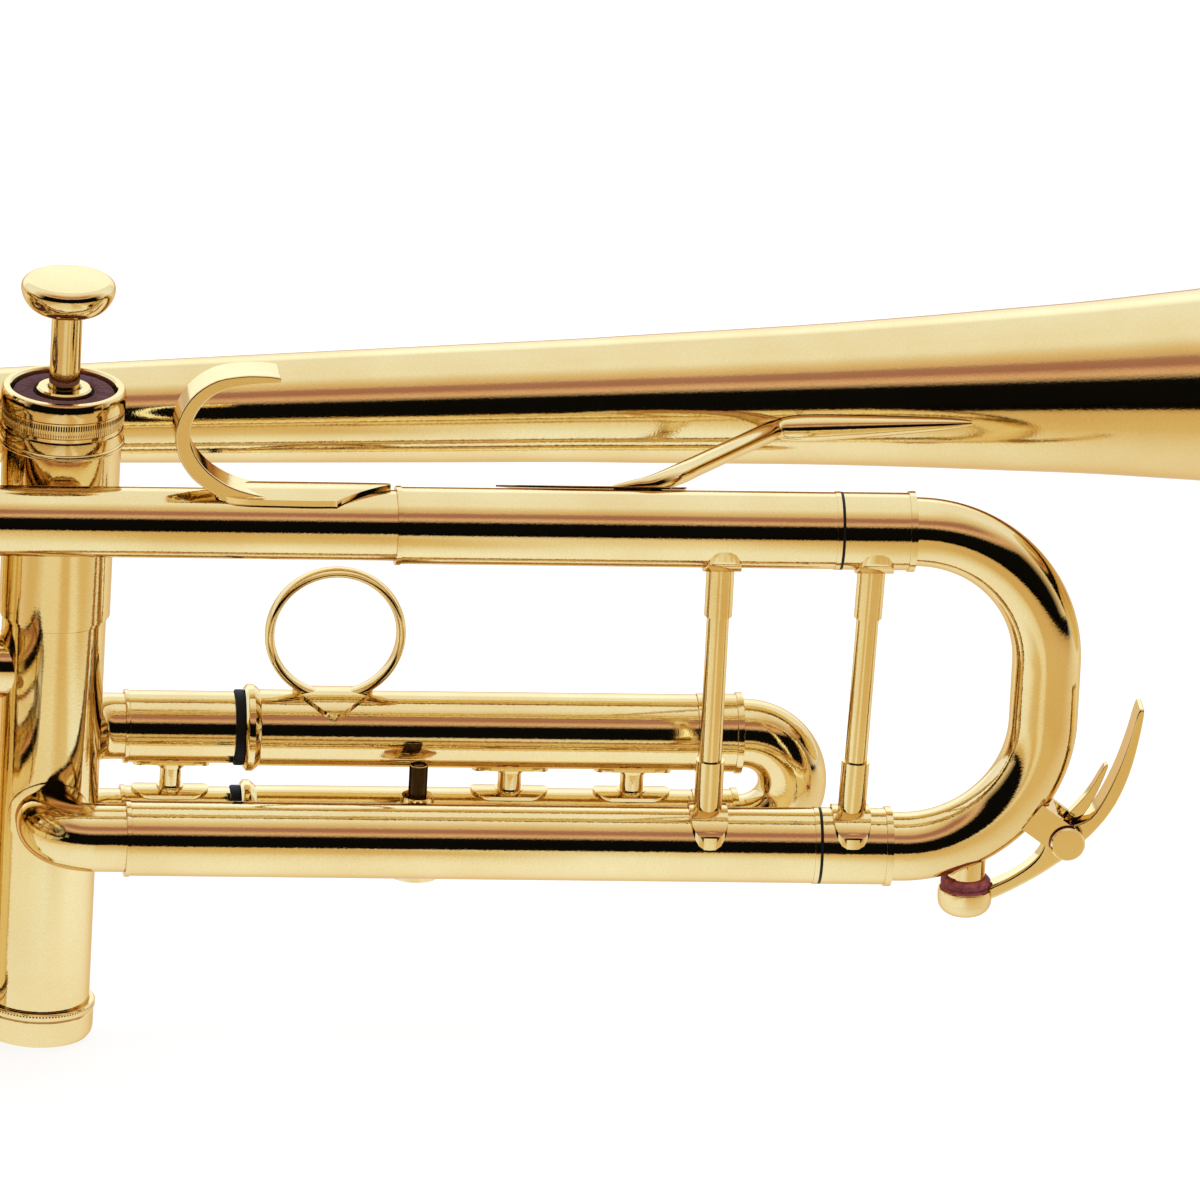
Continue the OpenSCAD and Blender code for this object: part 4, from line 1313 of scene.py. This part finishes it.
@dataclass
class BellSection:
    """The bell, its bow, its ferrule, the braces that hold it and the little finger's hook.

    Attributes:
        edge: How wide turned edges are rounded, in metres.
        wall: The bell's wall in millimetres.
        bead: Radius of the rim's bead in millimetres.
        mouth: Distance of the bell's mouth from its pivot point along its axis, in millimetres.
        profile: Distance from the pivot point and outer radius along the bell, in millimetres.
        lead: Radius of the leadpipe in millimetres.
        foot_lean: How far the S-brace's foot leans over the sleeve's far side, in radians.
        hook_width: Width of the hook's strap in millimetres.
        hook: The strap's outer edge: X from the hook's middle and Z over the leadpipe's axis.
        inside: The strap's inner edge, from its foot back to its tip.
    """

    edge: float = 0.00015
    wall: float = 0.6
    bead: float = 1.3
    mouth: float = 257.7
    profile: tuple[tuple[float, float], ...] = (
        (-140.6, 6.2), (-132, 6.2), (-95.6, 6.75), (-58.4, 7.5), (0, 9.06), (50, 10.3), (80, 11), (94, 11.5),
        (123, 12.5), (144.5, 13.6), (159, 14.5), (173.5, 15.4), (187.5, 16.6), (196, 17.4), (206, 18.8),
        (216, 20.8), (226, 23.8), (235, 28), (242.5, 33.4), (248, 39.4), (252, 46), (254.6, 53), (256, 60.2))
    lead: float = 6.3
    foot_lean: float = math.radians(24)
    hook_width: float = 7.4
    hook: tuple[tuple[float, float], ...] = (
        (6.9, 29.7), (5.6, 29.95), (3, 30.1), (0, 30), (-4.4, 29.1), (-8.1, 26.6), (-10.5, 22.9),
        (-11.4, 18.6), (-10.5, 14.2), (-8.1, 10.5), (-5.2, 8.3), (-2.6, 6.6), (-1, 5.4))
    inside: tuple[tuple[float, float], ...] = (
        (8, 5.4), (8.5, 7.15), (5, 7.4), (2, 8), (-1.6, 9.3), (-5.2, 11.8), (-7.8, 15.1), (-8.8, 18.6),
        (-8.1, 22.1), (-6.2, 25.1), (-3.4, 27.1), (0, 28), (3, 28.4), (5.6, 28.6), (6.9, 28.7))

    def build(self) -> None:
        """Polishes the bell section's pieces, and makes the bell, the S-brace and the hook."""
        self.make_bell()
        polish("bell_bow", GOLD_LACQUER)
        polish("bell_ferrule", GOLD_LACQUER, self.edge)
        polish("bell_rear_brace", GOLD_LACQUER, self.edge)
        self.make_brace()
        self.make_hook()

    def make_bell(self) -> None:
        """Spins the bell from its profile, with its bead rolled over the rim."""
        line = along(self.profile, 4)
        inner = []
        for before, spot, after in zip([line[0], *line], line, [*line[1:], line[-1]]):
            rise, run = after[1] - before[1], after[0] - before[0]
            length = math.hypot(rise, run)
            inner.append((spot[0] + self.wall * rise / length, spot[1] - self.wall * run / length))
        rim = [(line[-1][1] + self.bead * math.cos(a), line[-1][0] + 0.4 + self.bead * math.sin(a))
               for a in (math.radians(d) for d in range(-120, 111, 23))]
        outline = [(r, s) for s, r in line[:-1]] + rim + [(r, s) for s, r in reversed(inner[:-1])]
        mount = next(m for m in frame["record"]["mounts"] if m["name"] == "bell_mouth")
        axis = Vector(mount["axis"]).normalized()
        pivot = Vector(mount["pos_m"]) - axis * self.mouth * MM
        place = Matrix.Translation(pivot) @ Vector((0, 0, 1)).rotation_difference(axis).to_matrix().to_4x4()
        settle(turn("bell_spun", outline, 144, place), "trumpet_body", GOLD_LACQUER, "bell")

    def make_brace(self) -> None:
        """Bends the S-brace: a foot on the sleeve, a rod across and a tapered arm along the bell."""
        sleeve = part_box("main_upper_sleeve")
        axis = (sleeve[0].z + sleeve[1].z) / 2 / MM
        tube = (sleeve[1].z - sleeve[0].z) / 2 / MM
        x0, y0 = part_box("s_brace")[0].x / MM + 30, (sleeve[0].y + sleeve[1].y) / 2 / MM
        outline = along([(-30, 0), (-26, -1), (-18, -1.6), (-6, -1.7), (2.5, -1.6), (4, 0), (2.5, 2.6),
                         (-6, 3.2), (-18, 3), (-26, 1.8), (-30, 0)], 4)[:-1]
        leaning = at(x0, y0, axis) @ Matrix.Rotation(-self.foot_lean, 4, "X")
        foot = leaf("s_brace_foot", outline, tube + 0.01, 0.35, leaning, 0.15)

        def above(x: float, rise: float, radius: float) -> tuple[float, ...]:
            """Gives a rod point: its x from the rod's start, its rise over the tube and its radius."""
            return *(leaning @ (Vector((x, 0, tube + rise)) * MM) / MM), radius

        start = Vector(above(0, 1.4, 1.8)[:3])
        end = Vector((x0 + 23.5, 18.6, axis + 5.8))
        way = end - start
        middle = [(*(start + way * share), 1.85) for share in (0.12, 0.3, 0.5, 0.7, 0.88)]
        bar = rod("s_brace_rod", [
            above(-9, 0.1, 0.5), above(-5.5, 0.55, 1.0), above(-2, 1.0, 1.5), *middle,
            (end.x - 0.4, end.y - 0.7, end.z, 1.85), (end.x + 2.4, end.y + 0.1, end.z + 0.1, 1.85),
            (end.x + 6, end.y + 0.4, end.z + 0.2, 1.6), (end.x + 10, end.y + 0.5, end.z + 0.4, 1.0)])
        sizes = [(0, 0.5), (2, 1.5), (5, 2.3), (9, 2.5), (16, 2.2), (26, 1.6), (34, 1.0), (38, 0.4)]
        arm = rod("s_brace_arm", [(x, 0, 0, radius) for x, radius in sizes])
        arm.scale.y = 0.5
        arm.matrix_world = at(end.x - 3, end.y + 0.15, end.z - 0.3) @ Matrix.Rotation(
            math.radians(-2.6), 4, "Y") @ arm.matrix_world
        apply_all(arm)
        brace = joined("s_brace_bent", [bar, foot, arm])
        settle(brace, "trumpet_body", GOLD_LACQUER, "s_brace")

    def make_hook(self) -> None:
        """Bends the little finger's hook from strap, and cuts the leaf that it stands on."""
        low, high = (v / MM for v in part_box("pinky_hook"))
        middle_x, y = low.x + 11.4, (low.y + high.y) / 2
        outline = [*along(self.hook, 3), *along(self.inside, 3)]
        half = self.hook_width / 2
        stand = at(middle_x, y, high.z - 30) @ Matrix.Rotation(math.pi / 2, 4, "X")
        strap = plate("pinky_hook_strap", outline, -half, half, stand, 0.5)
        plan = [(-3.6, -2.4), (0, -3.6), (8, -3.9), (17, -3.9), (18.6, -3.4), (27, 1.4), (27.4, 2.3),
                (26.8, 3), (18, 3.7), (8, 3.8), (0, 3.6), (-3.6, 2.4)]
        flatter = self.lead + 2.7
        turned = Matrix.Rotation(math.radians(5), 4, "X") @ at(0, 0, self.lead - flatter)
        base = leaf("pinky_hook_leaf", along([*plan, plan[0]], 3)[:-1], flatter, 1.0,
                    at(middle_x, y, high.z - 29.2) @ turned, 0.25)
        settle(strap, "trumpet_body", GOLD_LACQUER, "pinky_hook")
        settle(base, "trumpet_body", GOLD_LACQUER)


@dataclass
class WaterKey:
    """The water key on the main slide's crook.

    Attributes:
        edge: How wide turned edges are rounded, in metres.
        arm: The lower arm's outline from the pivot: X and Z in millimetres.
        thumb: The thumb leaf's outline from the pivot: X and Z in millimetres.
        rest: The small rest behind the thumb leaf, as X and Z from the pivot in millimetres.
        hub: The hub's outline: radius and distance along the hinge in millimetres.
        cup: The cup's outline: radius and height from the cork's underside in millimetres.
        head: The round head's outline: radius and distance from the screw's front in millimetres.
        coils: Turns of the spring.
        coil: Radius of the spring's coil in millimetres.
        wire: Radius of its wire in millimetres.
        outer: Radius of the coil that shows round the head, and its wire's, in millimetres.
    """

    edge: float = 0.00015
    arm: tuple[tuple[float, float], ...] = (
        (2.6, -0.8), (1.3, -3.2), (-1.6, -5.5), (-5, -7.9), (-9.6, -10.6), (-13, -12.2), (-14, -11.6),
        (-13.4, -9.9), (-9.8, -8), (-6.2, -5.4), (-4.2, -2.8), (-3, 0.8), (-1, 2.6), (1.6, 2.2))
    thumb: tuple[tuple[float, float], ...] = (
        (0.6, 2.4), (2.2, -0.9), (5.6, 2.3), (8.5, 6.8), (10.6, 12.3), (11.9, 18.2), (12.7, 24), (12.3, 24.9),
        (11.6, 24.3), (10.4, 19.2), (8.7, 13.4), (6.5, 8), (4.1, 4.1))
    rest: tuple[tuple[float, float], ...] = (
        (0.2, 2.2), (2.4, 3.1), (4.8, 7.2), (6.9, 12.9), (6.3, 13.2), (3.6, 8.2), (-0.4, 3.2))
    hub: tuple[tuple[float, float], ...] = (
        (0, -3), (2.1, -3), (2.5, -2.6), (2.5, -1.9), (1.7, -1.8), (1.7, 1.8), (2.5, 1.9), (2.5, 2.6),
        (2.1, 3), (0, 3))
    cup: tuple[tuple[float, float], ...] = (
        (0, -2.3), (2.2, -2.2), (3.7, -1.6), (4.6, -0.5), (4.86, 1), (4.86, 2.5), (4.7, 2.75), (4.5, 2.5),
        (4.49, 1.5), (4.48, 0.05), (0, 0.02))
    head: tuple[tuple[float, float], ...] = (
        (0, -1.2), (2.95, -1.2), (3.1, -1), (3.1, -0.3), (2.8, 0.05), (0, 0.05))
    coils: float = 3.0
    coil: float = 2.15
    wire: float = 0.34
    outer: tuple[float, float] = (3.15, 0.36)

    def build(self) -> None:
        """Polishes the water key's mount and makes its lever, cork and spring."""
        polish("water_key_mount", GOLD_LACQUER, self.edge)
        polish("water_key_screw", GOLD_LACQUER, self.edge)
        hinge = next(j for j in frame["record"]["behaviour"]["joints"] if j["name"] == "water_key_hinge")
        pivot = Vector(hinge["pos_m"]) / MM
        stand = at(*pivot) @ Matrix.Rotation(math.pi / 2, 4, "X")
        arm = plate("water_key_arm", along([*self.arm, self.arm[0]], 3)[:-1], -1.9, 1.9, stand, 0.7)
        thumb = plate("water_key_leaf", along([*self.thumb, self.thumb[0]], 3)[:-1], -3, 3, stand, 0.6)
        rest = plate("water_key_rest", along([*self.rest, self.rest[0]], 3)[:-1], -1.1, 1.1, stand, 0.2)
        hub = turn("water_key_hub", self.hub, 64, stand)
        low, high = (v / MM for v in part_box("water_key_cork"))
        x, radius = (low.x + high.x) / 2, (high.x - low.x) / 2
        cup = turn("water_key_cup", along(self.cup, 3), 96, at(x, pivot.y, low.z))
        self.make_cork(x, pivot.y, low.z, high.z, radius)
        front = pivot.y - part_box("water_key_screw")[0].y / MM
        head = turn("water_key_head", [(r, front + step) for r, step in self.head], 96, stand)
        settle(head, "water_key", GOLD_LACQUER)
        for piece in (arm, hub, rest):
            settle(piece, "water_key", GOLD_LACQUER)
        settle(thumb, "water_key", GOLD_LACQUER, "water_key_lever")
        settle(cup, "water_key", GOLD_LACQUER)
        self.make_spring(pivot, rest)

    def make_cork(self, x: float, y: float, low: float, high: float, radius: float) -> None:
        """Turns the cork, with the ridges that its layers show at its side.

        Args:
            x: Its axis along the trumpet in millimetres.
            y: Its axis sideways.
            low: Height of its underside.
            high: Height of its top.
            radius: Its radius.
        """
        layers = 3
        step = (high - low) / layers
        side = []
        for layer in range(layers):
            base = layer * step
            side += [(radius - 0.32, base), (radius, base + 0.3 * step), (radius, base + 0.7 * step)]
        outline = [(0, 0), *side, (radius - 0.35, high - low), (0, high - low)]
        settle(turn("water_key_cork_turned", outline, 96, at(x, y, low)), "water_key", CORK, "water_key_cork")

    def make_spring(self, pivot: Vector, rest: bpy.types.Object) -> None:
        """Winds the spring round the hub, with a leg up the rest and one to the crook.

        Args:
            pivot: The hinge's place in millimetres.
            rest: The finished rest, whose end the photograph shows.
        """
        tip = meet(POINTS["spring_leg_end"], rest) / MM

        def wire_point(x: float, y: float, z: float) -> tuple[float, ...]:
            """Gives a point of the wire: its place from the pivot, with the wire's radius."""
            return pivot.x + x, pivot.y + y, pivot.z + z, self.wire

        turns = int(self.coils * 12)
        start = [wire_point(-5.6, -1.5, 3.4), wire_point(-3.6, -1.5, 1.6)]
        wound = []
        for step in range(turns + 1):
            a = math.radians(200) - step / 12 * FULL_TURN
            across = -1.5 + 3 * step / turns
            wound.append(wire_point(self.coil * math.cos(a), across, self.coil * math.sin(a)))
        half_way = 0.5 * (tip - pivot)
        end = [wire_point(2.2, 1.5, 3.2), wire_point(half_way.x - 0.4, 1.2, half_way.z)]
        wire = rod("water_key_spring", [*start, *wound, *end], 2, 3)
        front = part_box("water_key_screw")[0].y / MM + 1.25
        radius, thick = self.outer
        outer = [(pivot.x + radius * math.cos(a), front, pivot.z + radius * math.sin(a), thick)
                 for a in (math.radians(d) for d in range(75, 196, 10))]
        settle(joined(wire.name, [wire, rod("outer_coil", outer, 2, 3)]), "water_key", BRONZE_WIRE)


def reached(point: ImagePoint) -> tuple[float, float] | None:
    """Measures where a point's piece shows its side.

    Args:
        point: The image point. Where it has both x and y, its top or bottom is looked for near its x,
            on the side of the piece that faces the camera.

    Returns:
        The x and y at which the side shows, or None if the piece isn't there.
    """
    piece = bpy.data.objects.get(point.piece)
    if piece is None:
        return None
    eye = VIEW.place()
    spots = [(*VIEW.seen_at(v.co), (v.co - eye).length) for v in piece.data.vertices]
    spots = [s for s in spots if 0 <= s[0] <= PHOTO_W and 0 <= s[1] <= PHOTO_H]
    if point.edge in (Edge.TOP, Edge.BOTTOM) and point.x is not None and spots:
        depths = [s[2] for s in spots]
        middle = (min(depths) + max(depths)) / 2
        spots = [s for s in spots if abs(s[0] - point.x) < COLUMN and s[2] <= middle]
    if not spots:
        return None
    if point.edge is Edge.LEFT:
        return min(spots)[:2]
    if point.edge is Edge.RIGHT:
        return max(spots)[:2]
    if point.edge is Edge.TOP:
        return min(spots, key=lambda s: s[1])[:2]
    return max(spots, key=lambda s: s[1])[:2]


def write_checks() -> None:
    """Measures where each piece shows the side that its image point marks, and keeps nothing of it."""
    for name, point in POINTS.items():
        shown = reached(point)
        if shown is None:
            continue


def main() -> None:
    """Builds the camera, the studio and every sub-assembly, in order."""
    logging.basicConfig(level=logging.INFO, format="%(name)s: %(message)s")
    VIEW.build()
    Studio().build()
    for assembly in (ValveCluster(), LeadpipeLine(), MainSlide(), ThirdSlide(), ShortSlides(), BellSection(),
                     WaterKey()):
        assembly.build()
        log.info("%s is done", type(assembly).__name__)
    write_checks()


if __name__ == "__main__":
    main()
